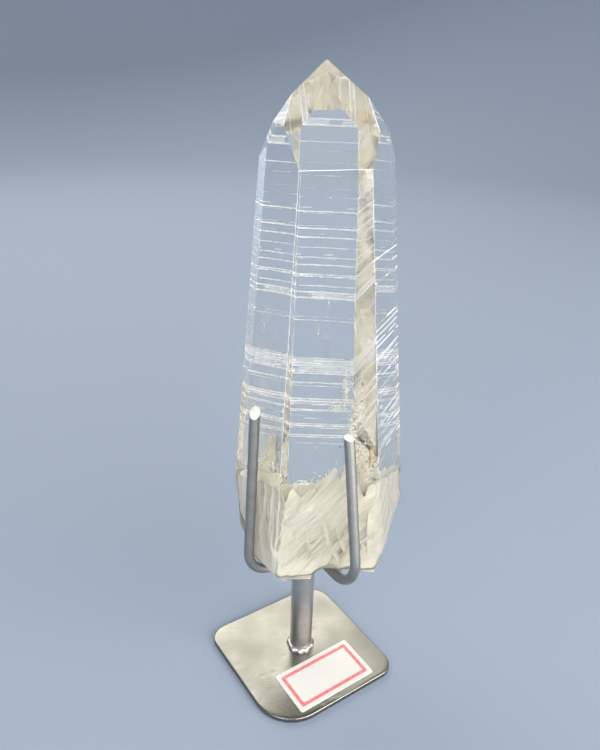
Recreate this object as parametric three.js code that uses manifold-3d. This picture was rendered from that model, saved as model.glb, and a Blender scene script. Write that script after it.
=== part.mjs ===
// Natural quartz point standing on its blunt, broken end in a cradle of bent wire on a small square base.
// Millimetres, +Z up. The plate's sides run along X and Y, and the origin is the middle of its underside.
// Azimuths are in degrees: 0 faces -Y, and a positive one turns towards +X.
import * as THREE from "three";
import { mergeVertices } from "three/addons/utils/BufferGeometryUtils.js";
import Module from "manifold-3d";

const wasm = await Module();
wasm.setup();

// Base plate
const PLATE_SIDE = 50;
const PLATE_THICKNESS = 2;
const PLATE_BEVEL = 0.35;
// Corner radii from the corner at -X -Y, then +X -Y, +X +Y and -X +Y, uneven as cut by hand
const PLATE_CORNER_RADII = [14, 6, 9, 6];

// Upright rod, welded a little behind the middle of the plate
const ROD_DIAMETER = 8;
const ROD_X = 1.7;
const ROD_Y = 2.3;
const ROD_SIDES = 28;
const ROD_CHAMFER = 0.5;
const WELD_HEIGHT = 1.5;
const WELD_REACH = 1.1;
// Bulging outline of the weld, from its foot to its top: shares of its reach and of its height
const WELD_OUTLINE = [[1, 0], [0.93, 0.28], [0.66, 0.66], [0.3, 0.92], [0, 1]];

// Cradle: two lengths of round wire, each bent up at both ends, crossing over the rod
const WIRE_DIAMETER = 3.2;
const WIRE_SIDES = 12;
const WIRE_STEP = 3.2;
const BEND_STEP = 1.9;
const END_CUTTER_SIZE = 4 * WIRE_DIAMETER;
const LOWER_WIRE_LEVEL = 45.9;
const CROSSING_GAP = 0.35;
const UPPER_WIRE_LEVEL = LOWER_WIRE_LEVEL + WIRE_DIAMETER + CROSSING_GAP;
const ROD_TOP = LOWER_WIRE_LEVEL - WIRE_DIAMETER / 2 - CROSSING_GAP;

// Each arm: where its plane points, how high and how far out its cut end is, how far it leans inwards,
// the radius of its bend, how much its run climbs outwards, and how steeply its end was cut
const LOWER_WIRE = {
  level: LOWER_WIRE_LEVEL,
  arms: [
    { azimuth: -87, tipHeight: 108.6, tipReach: 20.4, lean: 2.5, bend: 10, climb: 0, cut: 42, cutTurn: 42 },
    { azimuth: 93, tipHeight: 101, tipReach: 27.2, lean: 5, bend: 10.5, climb: 0, cut: 12, cutTurn: -60 },
  ],
};
const UPPER_WIRE = {
  level: UPPER_WIRE_LEVEL,
  arms: [
    { azimuth: -3.9, tipHeight: 105, tipReach: 21.6, lean: 10.8, bend: 11.5, climb: 4.4, cut: 10, cutTurn: 0 },
    { azimuth: 176.1, tipHeight: 102, tipReach: 26.9, lean: 4.2, bend: 11, climb: -4.4, cut: 14, cutTurn: 120 },
  ],
};

// Crystal, in a frame of its own: +Z is the long axis, its foot is at 0, and its widest face is at azimuth 0
const CRYSTAL_FOOT = new THREE.Vector3(6.85, 2.75, 50.8);
const CRYSTAL_TURN = -28.1;
const CRYSTAL_LEAN_X = 0.34;
const CRYSTAL_LEAN_Y = -1.85;
const SHAFT_HEIGHT = 156;
const BASE_ROOM = 6;
// Ladders of growth lines: the height on the axis of each ledge, on the two long faces that carry them.
// They lie in planes that drop a little for each millimetre towards +X
const BACK_LEDGES = [
  32.5, 35.5, 39.3, 42.1, 45.2, 47.2, 49.4, 54, 55.3, 58.4, 60.2, 61.9, 63.8, 77.2,
  83.6, 85.5, 87.5, 90.8, 94, 96.6, 99.3, 102.3, 104.9, 110.2, 113.4, 122.4, 127.3, 129,
];
const SIDE_LEDGES = [
  43.5, 46, 48.6, 51.2, 53.5, 56, 58.2, 60.8, 63, 65.4, 67.5, 70, 72.2, 74.4, 76.5,
  79.9, 81.3, 82.9, 84.5, 86, 97.7, 101, 104.1,
];
const LEDGE_TILT = 0.08;
const LEDGE_RISE = 0.22;
// Share of a face's slope that its ledges take up
const LEDGE_SHARE = 0.62;
// Long faces: how far each is from the axis at the foot, how far it leans in, and its ledges
const SHAFT_FACES = [
  { azimuth: 0, reach: 23.45, taper: 3.97, ledges: [] },
  { azimuth: 60, reach: 27.35, taper: 5.11, ledges: SIDE_LEDGES },
  { azimuth: 120, reach: 23.85, taper: 2.92, ledges: [] },
  { azimuth: 180, reach: 26, taper: 4, ledges: BACK_LEDGES },
  { azimuth: 234.5, reach: 23.5, taper: 4.06, ledges: [] },
  { azimuth: 300, reach: 25.85, taper: 5.2, ledges: [] },
];
// Faces of the point: three large ones that meet at the tip, and three small ones between them.
// lift is the angle of the outward normal above the horizontal, and peak is where the face crosses the axis
const POINT_FACES = [
  { azimuth: 0, lift: 36.29, peak: 145.8 },
  { azimuth: 120, lift: 33.46, peak: 152.3 },
  { azimuth: 234.3, lift: 29.55, peak: 152 },
  { azimuth: 60, lift: 32.02, peak: 158.2 },
  { azimuth: 180, lift: 33.5, peak: 157 },
  { azimuth: 300, lift: 34.24, peak: 155.4 },
];

// Breaks of the foot, in the crystal's frame: a point on each and the way that it faces
const BREAKS = [
  { at: [0, 0, 2.4], azimuth: 90, lift: -88 },
  { at: [21.5, -15.4, 11.7], azimuth: 68, lift: -16.7 },
  { at: [-25.4, -6.9, 9], azimuth: 235, lift: -39 },
  { at: [-26.6, -1.3, 23.5], azimuth: 252, lift: -6 },
  { at: [15.9, -22.1, 19.8], azimuth: 38, lift: 2.4 },
  { at: [-15.4, -22.7, 3.3], azimuth: 305, lift: -35.5 },
  { at: [6, 24, 9], azimuth: 168, lift: -48 },
  { at: [22, 12, 9], azimuth: 118, lift: -35 },
];
// Shell-shaped scars in the foot: centre and radius of the ball that fits each
const SCARS = [
  { at: [0.7, -25, 0.2], radius: 5.9 },
  { at: [8, -25, -0.8], radius: 6 },
  { at: [-14, -6, -13.5], radius: 16.6 },
  { at: [9, 3, -16.5], radius: 20 },
  { at: [-7, 15, -12], radius: 16 },
  { at: [26, 7, -6], radius: 14 },
];
const SCAR_SIDES = 20;
// Small chips on the edges
const CHIPS = [
  { at: [17.4, -9.9, 128.6], radius: 1.4 },
  { at: [-13.6, -19.4, 61], radius: 1.2 },
  { at: [14.6, -19.9, 74], radius: 1.2 },
];
const CHIP_SIDES = 8;

// Paper label on the plate
const LABEL_LENGTH = 31;
const LABEL_WIDTH = 17;
const LABEL_THICKNESS = 0.25;
const LABEL_CORNER = 0.8;
const LABEL_X = 1;
const LABEL_Y = -14.1;
const LABEL_TURN = 0.4;
const LABEL_CORNER_SEGMENTS = 3;

const CUTTER_SIZE = 400;
const CURVE_SEGMENTS = 7;

const quartz = new THREE.MeshStandardMaterial({ color: 0xe9ebe6, roughness: 0.04, metalness: 0 });
quartz.transparent = true;
quartz.opacity = 0.5;
quartz.flatShading = true;
const steel = new THREE.MeshStandardMaterial({ color: 0xb4b6b4, roughness: 0.32, metalness: 1 });
const wireSteel = new THREE.MeshStandardMaterial({ color: 0x9ea3a6, roughness: 0.38, metalness: 1 });
const paper = new THREE.MeshStandardMaterial({ color: 0xf2efec, roughness: 0.85, metalness: 0 });

function radians(degrees) {
  return THREE.MathUtils.degToRad(degrees);
}

// Unit vector at an azimuth, raised by lift
function facing(azimuth, lift = 0) {
  const turn = radians(azimuth);
  const rise = radians(lift);
  return new THREE.Vector3(Math.sin(turn) * Math.cos(rise), -Math.cos(turn) * Math.cos(rise), Math.sin(rise));
}

function toSolid(geometry) {
  const bare = geometry.clone();
  bare.deleteAttribute("normal");
  bare.deleteAttribute("uv");
  const merged = mergeVertices(bare, 1e-4);
  return new wasm.Manifold(new wasm.Mesh({
    numProp: 3,
    vertProperties: new Float32Array(merged.attributes.position.array),
    triVerts: new Uint32Array(merged.index.array),
  }));
}

function toGeometry(solid) {
  const mesh = solid.getMesh();
  const geometry = new THREE.BufferGeometry();
  geometry.setAttribute("position", new THREE.BufferAttribute(new Float32Array(mesh.vertProperties), 3));
  geometry.setIndex(new THREE.BufferAttribute(new Uint32Array(mesh.triVerts), 1));
  geometry.computeVertexNormals();
  return geometry;
}

// A block that fills what lies beyond the plane through a point
function beyond(point, normal, size = CUTTER_SIZE) {
  const block = new THREE.BoxGeometry(size, size, size);
  block.translate(0, 0, size / 2);
  block.applyQuaternion(new THREE.Quaternion().setFromUnitVectors(new THREE.Vector3(0, 0, 1), normal));
  block.translate(point.x, point.y, point.z);
  return toSolid(block);
}

function ball(at, radius, sides) {
  const geometry = new THREE.SphereGeometry(radius, sides, sides / 2);
  geometry.translate(...at);
  return toSolid(geometry);
}

// Square with a radius of its own at each corner
function roundedOutline(length, width, radii) {
  const corners = [
    [-length / 2, -width / 2, 180],
    [length / 2, -width / 2, 270],
    [length / 2, width / 2, 0],
    [-length / 2, width / 2, 90],
  ];
  const shape = new THREE.Shape();
  corners.forEach(([x, y, start], index) => {
    const radius = radii[index];
    const centreX = x - Math.sign(x) * radius;
    const centreY = y - Math.sign(y) * radius;
    shape.absarc(centreX, centreY, radius, radians(start), radians(start + 90), false);
  });
  shape.closePath();
  return shape;
}

function makePlate() {
  const inset = PLATE_SIDE - 2 * PLATE_BEVEL;
  const radii = PLATE_CORNER_RADII.map((radius) => radius - PLATE_BEVEL);
  const geometry = new THREE.ExtrudeGeometry(roundedOutline(inset, inset, radii), {
    depth: PLATE_THICKNESS - 2 * PLATE_BEVEL,
    bevelThickness: PLATE_BEVEL,
    bevelSize: PLATE_BEVEL,
    bevelSegments: 1,
    curveSegments: CURVE_SEGMENTS,
  });
  geometry.translate(0, 0, PLATE_BEVEL);
  const plate = new THREE.Mesh(geometry, steel);
  plate.name = "base_plate";
  return plate;
}

// The rod with its weld round the foot and a chamfer at its top
function makeRod() {
  const radius = ROD_DIAMETER / 2;
  const height = ROD_TOP - PLATE_THICKNESS;
  const profile = [
    [0, 0],
    ...WELD_OUTLINE.map(([out, up]) => [radius + WELD_REACH * out, WELD_HEIGHT * up]),
    [radius, height - ROD_CHAMFER],
    [radius - ROD_CHAMFER, height],
    [0, height],
  ];
  const geometry = new THREE.LatheGeometry(profile.map(([x, y]) => new THREE.Vector2(x, y)), ROD_SIDES);
  geometry.rotateX(Math.PI / 2);
  const rod = new THREE.Mesh(geometry, steel);
  rod.name = "rod";
  rod.position.set(ROD_X, ROD_Y, PLATE_THICKNESS);
  return rod;
}

// One arm's path in its own plane, outwards from the crossing: a run, a bend and an upright
function armPath(arm, level) {
  const out = facing(arm.azimuth);
  const up = new THREE.Vector3(0, 0, 1);
  const place = (reach, height) => out.clone().multiplyScalar(reach).addScaledVector(up, height);
  const lean = Math.tan(radians(arm.lean));
  const climb = Math.tan(radians(arm.climb));
  // The run and the upright would meet at this corner if there were no bend
  const cornerReach = (arm.tipReach + (arm.tipHeight - level) * lean) / (1 + climb * lean);
  const cornerHeight = level + cornerReach * climb;
  const inside = radians(90 - arm.lean + arm.climb);
  const tangent = arm.bend / Math.tan(inside / 2);
  const run = radians(arm.climb);
  const upright = radians(arm.lean);
  const bendStart = [cornerReach - tangent * Math.cos(run), cornerHeight - tangent * Math.sin(run)];
  const bendEnd = [cornerReach - tangent * Math.sin(upright), cornerHeight + tangent * Math.cos(upright)];
  const centre = [bendStart[0] - arm.bend * Math.sin(run), bendStart[1] + arm.bend * Math.cos(run)];
  const points = [];
  const startAngle = Math.atan2(bendStart[1] - centre[1], bendStart[0] - centre[0]);
  const endAngle = Math.atan2(bendEnd[1] - centre[1], bendEnd[0] - centre[0]);
  const bendSteps = Math.ceil((arm.bend * (endAngle - startAngle)) / BEND_STEP);
  for (let step = 0; step <= bendSteps; step += 1) {
    const angle = startAngle + ((endAngle - startAngle) * step) / bendSteps;
    points.push(place(centre[0] + arm.bend * Math.cos(angle), centre[1] + arm.bend * Math.sin(angle)));
  }
  points.push(place(arm.tipReach, arm.tipHeight));
  return points;
}

// The end of an arm, cut off at a slant as cutting pliers leave it
function slantedEnd(arm) {
  const tip = facing(arm.azimuth).multiplyScalar(arm.tipReach);
  tip.z = arm.tipHeight - WIRE_DIAMETER / 2;
  return beyond(tip, facing(arm.azimuth + arm.cutTurn, 90 - arm.cut), END_CUTTER_SIZE);
}

function makeWire(name, wire) {
  const [first, second] = wire.arms;
  const path = new THREE.CurvePath();
  const points = [...armPath(first, wire.level).reverse(), ...armPath(second, wire.level)];
  points.slice(1).forEach((point, index) => path.add(new THREE.LineCurve3(points[index], point)));
  const section = new THREE.Shape();
  section.absarc(0, 0, WIRE_DIAMETER / 2, 0, 2 * Math.PI, false);
  const geometry = new THREE.ExtrudeGeometry(section, {
    steps: Math.round(path.getLength() / WIRE_STEP),
    curveSegments: WIRE_SIDES / 2,
    extrudePath: path,
  });
  const cut = wire.arms.reduce((solid, arm) => solid.subtract(slantedEnd(arm)), toSolid(geometry));
  const bentWire = new THREE.Mesh(toGeometry(cut), wireSteel);
  bentWire.name = name;
  bentWire.position.set(ROD_X, ROD_Y, 0);
  return bentWire;
}

// Distance of a long face from the axis: it stands steeper than its mean slope between two ledges
function faceReach(face, height) {
  const slope = Math.tan(radians(face.taper));
  const below = face.ledges.filter((ledge) => ledge <= height);
  const above = face.ledges.filter((ledge) => ledge > height);
  const from = below.length ? below[below.length - 1] : 0;
  const to = above.length ? above[0] : SHAFT_HEIGHT;
  const middle = (from + to) / 2;
  const held = below.length && above.length ? LEDGE_SHARE : 0;
  return face.reach - height * slope + held * (height - middle) * slope;
}

// Corner where two neighbouring long faces meet, at one height of the ladder
function shaftCorner(height, first, firstReach, second, secondReach) {
  const a = facing(first.azimuth);
  const b = facing(second.azimuth);
  const det = a.x * b.y - a.y * b.x;
  const x = (firstReach * b.y - secondReach * a.y) / det;
  const y = (a.x * secondReach - b.x * firstReach) / det;
  return [x, y, height - LEDGE_TILT * x];
}

function shaftSolid() {
  const heights = [-BASE_ROOM, SHAFT_HEIGHT];
  for (const height of [...BACK_LEDGES, ...SIDE_LEDGES]) {
    heights.push(height - LEDGE_RISE / 2, height + LEDGE_RISE / 2);
  }
  heights.sort((low, high) => low - high);
  const positions = [];
  const indices = [];
  const sides = SHAFT_FACES.length;
  for (const height of heights) {
    const reaches = SHAFT_FACES.map((face) => faceReach(face, height));
    SHAFT_FACES.forEach((face, index) => {
      const next = (index + 1) % sides;
      positions.push(...shaftCorner(height, face, reaches[index], SHAFT_FACES[next], reaches[next]));
    });
  }
  for (let level = 0; level + 1 < heights.length; level += 1) {
    for (let side = 0; side < sides; side += 1) {
      const a = level * sides + side;
      const b = level * sides + ((side + 1) % sides);
      indices.push(a, b, b + sides, a, b + sides, a + sides);
    }
  }
  const top = (heights.length - 1) * sides;
  for (let side = 1; side + 1 < sides; side += 1) {
    indices.push(0, side + 1, side);
    indices.push(top, top + side, top + side + 1);
  }
  const geometry = new THREE.BufferGeometry();
  geometry.setAttribute("position", new THREE.Float32BufferAttribute(positions, 3));
  geometry.setIndex(indices);
  return toSolid(geometry);
}

// The crystal is one piece: its ladders, point, broken foot and chips are all cut in the same solid
function makeCrystal() {
  let solid = shaftSolid();
  for (const face of POINT_FACES) {
    solid = solid.subtract(beyond(new THREE.Vector3(0, 0, face.peak), facing(face.azimuth, face.lift)));
  }
  for (const face of BREAKS) {
    solid = solid.subtract(beyond(new THREE.Vector3(...face.at), facing(face.azimuth, face.lift)));
  }
  for (const scar of SCARS) solid = solid.subtract(ball(scar.at, scar.radius, SCAR_SIDES));
  for (const chip of CHIPS) solid = solid.subtract(ball(chip.at, chip.radius, CHIP_SIDES));
  const crystal = new THREE.Mesh(toGeometry(solid), quartz);
  crystal.name = "crystal";
  crystal.position.copy(CRYSTAL_FOOT);
  crystal.rotation.set(radians(CRYSTAL_LEAN_X), radians(CRYSTAL_LEAN_Y), radians(CRYSTAL_TURN));
  return crystal;
}

function makeLabel() {
  const radii = Array(4).fill(LABEL_CORNER);
  const geometry = new THREE.ExtrudeGeometry(roundedOutline(LABEL_LENGTH, LABEL_WIDTH, radii), {
    depth: LABEL_THICKNESS,
    bevelEnabled: false,
    curveSegments: LABEL_CORNER_SEGMENTS,
  });
  const label = new THREE.Mesh(geometry, paper);
  label.name = "label";
  label.position.set(LABEL_X, LABEL_Y, PLATE_THICKNESS);
  label.rotation.z = radians(LABEL_TURN);
  return label;
}

const model = new THREE.Group();
model.add(
  makePlate(),
  makeRod(),
  makeWire("cradle_wire_lower", LOWER_WIRE),
  makeWire("cradle_wire_upper", UPPER_WIRE),
  makeCrystal(),
  makeLabel(),
);

export default model;
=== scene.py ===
"""Clear natural quartz point with a laddered shaft and a milky broken foot, held upright in a bent-wire cradle.

Everything is in metres, +Z up, with the sides of the base plate along X and Y.
The crystal is shaped in a frame of its own, in millimetres: +Z is its long axis and its foot is at 0.
Azimuths are in degrees: 0 faces -Y, and a positive one turns towards +X.
"""

import math
import random

import bmesh
import bpy
from mathutils import Matrix, Vector, noise


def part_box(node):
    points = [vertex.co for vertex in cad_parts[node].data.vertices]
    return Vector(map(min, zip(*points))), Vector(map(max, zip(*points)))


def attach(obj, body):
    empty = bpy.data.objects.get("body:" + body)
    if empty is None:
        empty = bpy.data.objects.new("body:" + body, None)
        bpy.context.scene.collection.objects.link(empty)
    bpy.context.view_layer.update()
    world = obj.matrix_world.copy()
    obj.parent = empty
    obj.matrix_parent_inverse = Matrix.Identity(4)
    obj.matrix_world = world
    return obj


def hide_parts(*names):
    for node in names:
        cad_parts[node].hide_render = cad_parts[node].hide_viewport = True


bl_info = {
    "name": "Quartz point on a wire cradle",
    "version": (1, 0, 0),
    "blender": (4, 5, 0),
    "location": "View3D > Sidebar > Quartz point",
    "description": "Builds a clear laddered quartz point that stands in a bent-wire cradle",
    "category": "Add Mesh",
}

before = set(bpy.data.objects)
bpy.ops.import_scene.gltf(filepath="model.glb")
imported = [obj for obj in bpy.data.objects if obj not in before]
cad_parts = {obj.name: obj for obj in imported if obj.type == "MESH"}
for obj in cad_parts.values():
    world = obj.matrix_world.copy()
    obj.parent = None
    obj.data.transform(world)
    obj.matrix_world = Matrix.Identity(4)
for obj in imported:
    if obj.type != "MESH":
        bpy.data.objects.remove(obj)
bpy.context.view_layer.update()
MM = 0.001

# Sizes that come from the frame
PLATE_LOW, PLATE_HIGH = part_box("base_plate")
ROD_LOW, ROD_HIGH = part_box("rod")
LABEL_LOW, LABEL_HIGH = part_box("label")
ROD_CENTRE = (ROD_LOW + ROD_HIGH) / 2

# Base plate: corner radii in mm from the corner at -X -Y, then +X -Y, +X +Y and -X +Y
PLATE_CORNER_RADII = (14, 6, 9, 6)
ROD_DIAMETER = 8
WIRE_DIAMETER = 3.2

# The two wires of the cradle, in mm. Each arm: where its plane points, how high and how far out its cut end is,
# how far it leans inwards, the radius of its bend, how much its run climbs, and how its end was cut
LOWER_WIRE_LEVEL = 45.9
UPPER_WIRE_LEVEL = 49.45
LOWER_WIRE_ARMS = (
    dict(azimuth=-87, tip_height=108.6, tip_reach=20.4, lean=2.5, bend=10, climb=0, cut=42, cut_turn=42),
    dict(azimuth=93, tip_height=101, tip_reach=27.2, lean=5, bend=10.5, climb=0, cut=12, cut_turn=-60),
)
UPPER_WIRE_ARMS = (
    dict(azimuth=-3.9, tip_height=105, tip_reach=21.6, lean=10.8, bend=11.5, climb=4.4, cut=10, cut_turn=0),
    dict(azimuth=176.1, tip_height=102, tip_reach=26.9, lean=4.2, bend=11, climb=-4.4, cut=14, cut_turn=120),
)

# Place of the crystal: its foot in mm, its turn about its axis and its two small leans
CRYSTAL_FOOT = (6.85, 2.75, 50.8)
CRYSTAL_TURN = -28.1
CRYSTAL_LEAN_X = 0.34
CRYSTAL_LEAN_Y = -1.85
SHAFT_HEIGHT = 156
BASE_ROOM = 6
# Ladders of growth lines on two of the long faces: the height of each ledge on the axis, how high it stands,
# and how much of it is frosted. They lie in planes that drop a little for each mm towards +X
BACK_LEDGES = (
    (32.5, 0.16, 0.5), (34.9, 0.3, 0.9), (35.7, 0.34, 0.9), (38.4, 0.22, 0.6), (39.3, 0.3, 0.8), (40, 0.26, 0.8),
    (42.1, 0.16, 0.6), (44.9, 0.26, 0.9), (45.4, 0.3, 1), (47.2, 0.2, 0.7), (48.5, 0.26, 0.8), (49.4, 0.32, 0.9),
    (54, 0.16, 0.7), (55.2, 0.36, 1), (58.4, 0.32, 1), (59.2, 0.2, 0.8), (61.1, 0.26, 0.9), (61.9, 0.26, 0.9),
    (62.8, 0.26, 0.8), (63.8, 0.16, 0.7), (76.4, 0.26, 0.95), (77.6, 0.14, 0.6), (83.6, 0.44, 1),
    (85.5, 0.4, 1), (87.5, 0.3, 0.9), (90.4, 0.24, 0.8), (91.1, 0.26, 0.9), (94, 0.34, 1), (96.3, 0.2, 0.7),
    (97.2, 0.16, 0.5), (99.3, 0.2, 0.8), (102.3, 0.36, 1.1), (104.9, 0.36, 1.1), (109.8, 0.3, 1), (110.9, 0.16, 0.6),
    (113.4, 0.16, 0.6), (122.4, 0.2, 0.8), (127.2, 0.34, 1), (129.1, 0.36, 1),
)
SIDE_LEDGES = (
    (43.5, 0.12, 0.4), (46, 0.14, 0.4), (48.6, 0.12, 0.4), (51.2, 0.14, 0.4), (53.5, 0.12, 0.4), (56, 0.14, 0.4),
    (58.2, 0.12, 0.5), (60.8, 0.14, 0.4), (63, 0.12, 0.5), (65.4, 0.14, 0.4), (67.5, 0.12, 0.5), (70, 0.14, 0.4),
    (72.2, 0.12, 0.5), (74.4, 0.14, 0.5), (76.5, 0.14, 0.6), (79.9, 0.15, 0.65), (81.3, 0.13, 0.55), (82.9, 0.14, 0.6),
    (84.5, 0.15, 0.65), (86, 0.12, 0.3), (97.7, 0.1, 0.3), (101, 0.1, 0.3), (104.1, 0.15, 0.7),
)
LEDGE_TILT = 0.08
# Stretches of fine growth lines between them: from, to and how many
BACK_FINE = ((37, 50, 3), (53, 64.5, 3), (83, 118, 10), (118, 131, 2))
SIDE_FINE = ((42, 78, 12), (78, 90, 2))
# Bands that are dull all over: from and to
BACK_SATIN = ((34.9, 35.7), (38.4, 40), (47.4, 49.4), (58.4, 63.4), (83.4, 85.5), (90.3, 91.2), (127.2, 129.2))
# Long faces: how far each is from the axis at the foot, how far it leans in, its ladder, and how worn its edge
# towards the face before it is
SHAFT_FACES = (
    dict(azimuth=0, reach=23.45, taper=3.97, ledges=(), fine=(), satin=(), wear=0.4),
    dict(azimuth=60, reach=27.35, taper=5.11, ledges=SIDE_LEDGES, fine=SIDE_FINE, satin=(), wear=0.25),
    dict(azimuth=120, reach=23.85, taper=2.92, ledges=(), fine=(), satin=(), wear=0.8),
    dict(azimuth=180, reach=26, taper=4, ledges=BACK_LEDGES, fine=BACK_FINE, satin=BACK_SATIN, wear=0.3),
    dict(azimuth=234.5, reach=23.5, taper=4.06, ledges=(), fine=(), satin=(), wear=0.3),
    dict(azimuth=300, reach=25.85, taper=5.2, ledges=(), fine=(), satin=(), wear=0.9),
)
# Faces of the point: lift is the angle of the outward normal above the horizontal, peak is where it crosses the axis
POINT_FACES = (
    dict(azimuth=0, lift=36.29, peak=145.8),
    dict(azimuth=120, lift=33.46, peak=152.3),
    dict(azimuth=234.3, lift=29.55, peak=152),
    dict(azimuth=60, lift=32.02, peak=158.2),
    dict(azimuth=180, lift=33.5, peak=157),
    dict(azimuth=300, lift=34.24, peak=155.4),
)
# Finishes of the quartz
CLEAR, SATIN, FROSTED, BROKEN = range(4)
# Height from which the faces of each finish are flat: below it they are shaded as rippled breaks
FLAT_FROM = {CLEAR: 32, SATIN: 42, FROSTED: 32, BROKEN: 200}
# Breaks of the foot: a point on each, the way that it faces and its finish
BREAKS = (
    dict(at=(0, 0, 2.4), azimuth=90, lift=-88, finish=BROKEN),
    dict(at=(21.5, -15.4, 11.7), azimuth=68, lift=-16.7, finish=SATIN),
    dict(at=(-25.4, -6.9, 9), azimuth=235, lift=-39, finish=BROKEN),
    dict(at=(-26.6, -1.3, 23.5), azimuth=252, lift=-6, finish=SATIN),
    dict(at=(15.9, -22.1, 19.8), azimuth=38, lift=2.4, finish=CLEAR),
    dict(at=(-15.4, -22.7, 3.3), azimuth=305, lift=-35.5, finish=BROKEN),
    dict(at=(6, 24, 9), azimuth=168, lift=-48, finish=BROKEN),
    dict(at=(22, 12, 9), azimuth=118, lift=-35, finish=BROKEN),
)
# Shell-shaped scars: centre and radius of the ball that fits each
SCARS = (
    dict(at=(0.7, -25, 0.2), radius=5.9),
    dict(at=(8, -25, -0.8), radius=6),
    dict(at=(-14, -6, -13.5), radius=16.6),
    dict(at=(9, 3, -16.5), radius=20),
    dict(at=(-7, 15, -12), radius=16),
    dict(at=(26, 7, -6), radius=14),
)
# Small chips on the edges
CHIPS = (
    dict(at=(17.4, -9.9, 128.6), radius=1.4),
    dict(at=(-13.6, -19.4, 61), radius=1.2),
    dict(at=(14.6, -19.9, 74), radius=1.2),
)


class QuartzSettings(bpy.types.PropertyGroup):
    ledge_share: bpy.props.FloatProperty(
        name="Ledge share", description="How much of a face's slope its ledges take up", default=0.3, min=0, max=1)
    edge_wear: bpy.props.FloatProperty(
        name="Edge wear", description="Width of the worn strip along each long edge",
        default=0.2 * MM, min=0.02 * MM, max=1 * MM, unit="LENGTH", precision=5)
    point_wear: bpy.props.FloatProperty(
        name="Point wear", description="Depth of the worn strip along the edges of the point",
        default=0.03 * MM, min=0, max=0.5 * MM, unit="LENGTH", precision=5)
    ripple: bpy.props.FloatProperty(
        name="Ripple height", description="Height of the shell-like ripples on the broken foot",
        default=0.35 * MM, min=0, max=1 * MM, unit="LENGTH", precision=5)
    seed: bpy.props.IntProperty(name="Seed", description="Seed of the growth lines", default=71)
    ior: bpy.props.FloatProperty(
        name="Refractive index", description="How strongly the quartz bends light", default=1.544, min=1, max=2.5)
    tint: bpy.props.FloatVectorProperty(
        name="Tint", description="Colour of light that has passed through the quartz",
        subtype="COLOR", default=(0.985, 0.985, 0.97), min=0, max=1)
    frost: bpy.props.FloatVectorProperty(
        name="Frost", description="Colour of the frosted ledges and worn edges",
        subtype="COLOR", default=(0.97, 0.97, 0.95), min=0, max=1)


class VeilSettings(bpy.types.PropertyGroup):
    leaves: bpy.props.IntProperty(
        name="Leaves", description="Leaves in the sheaf that is seen from the front", default=60, min=5, max=300)
    seed: bpy.props.IntProperty(name="Seed", description="Seed of the veils and grains", default=5)
    milk: bpy.props.FloatVectorProperty(
        name="Milk", description="Colour of the milky veils",
        subtype="COLOR", default=(0.9, 0.85, 0.7), min=0, max=1)
    iron: bpy.props.FloatVectorProperty(
        name="Iron stain", description="Colour of the iron stains in the cracks",
        subtype="COLOR", default=(0.8, 0.56, 0.26), min=0, max=1)


class StandSettings(bpy.types.PropertyGroup):
    plate_side: bpy.props.FloatProperty(
        name="Plate side", description="Side of the square base plate",
        default=PLATE_HIGH.x - PLATE_LOW.x, unit="LENGTH", precision=4)
    plate_thickness: bpy.props.FloatProperty(
        name="Plate thickness", description="Thickness of the base plate",
        default=PLATE_HIGH.z - PLATE_LOW.z, unit="LENGTH", precision=4)
    plate_bevel: bpy.props.FloatProperty(
        name="Plate edge", description="Width of the rounded edge of the plate",
        default=0.4 * MM, unit="LENGTH", precision=5)
    rod_diameter: bpy.props.FloatProperty(
        name="Rod diameter", description="Diameter of the upright rod",
        default=ROD_DIAMETER * MM, unit="LENGTH", precision=4)
    weld_height: bpy.props.FloatProperty(
        name="Weld height", description="Height of the weld round the rod's foot",
        default=1.5 * MM, unit="LENGTH", precision=5)
    weld_reach: bpy.props.FloatProperty(
        name="Weld reach", description="How far the weld spreads out on the plate",
        default=1.1 * MM, unit="LENGTH", precision=5)
    wire_diameter: bpy.props.FloatProperty(
        name="Wire diameter", description="Diameter of the cradle's wires",
        default=WIRE_DIAMETER * MM, unit="LENGTH", precision=5)
    steel: bpy.props.FloatVectorProperty(
        name="Plate steel", description="Colour of the plate",
        subtype="COLOR", default=(0.24, 0.24, 0.215), min=0, max=1)
    rod_steel: bpy.props.FloatVectorProperty(
        name="Rod steel", description="Colour of the rod",
        subtype="COLOR", default=(0.5, 0.5, 0.48), min=0, max=1)
    wire_steel: bpy.props.FloatVectorProperty(
        name="Wire steel", description="Colour of the wires",
        subtype="COLOR", default=(0.35, 0.35, 0.33), min=0, max=1)


class LabelSettings(bpy.types.PropertyGroup):
    length: bpy.props.FloatProperty(
        name="Length", description="Length of the paper label", default=31 * MM, unit="LENGTH", precision=4)
    width: bpy.props.FloatProperty(
        name="Width", description="Width of the paper label", default=17 * MM, unit="LENGTH", precision=4)
    margin: bpy.props.FloatProperty(
        name="Margin", description="White margin outside the printed frame",
        default=1.5 * MM, unit="LENGTH", precision=5)
    line: bpy.props.FloatProperty(
        name="Frame line", description="Width of the printed frame line",
        default=1.25 * MM, unit="LENGTH", precision=5)
    paper: bpy.props.FloatVectorProperty(
        name="Paper", description="Colour of the paper", subtype="COLOR", default=(0.58, 0.57, 0.565), min=0, max=1)
    ink: bpy.props.FloatVectorProperty(
        name="Ink", description="Colour of the printed frame",
        subtype="COLOR", default=(0.56, 0.12, 0.125), min=0, max=1)


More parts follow.
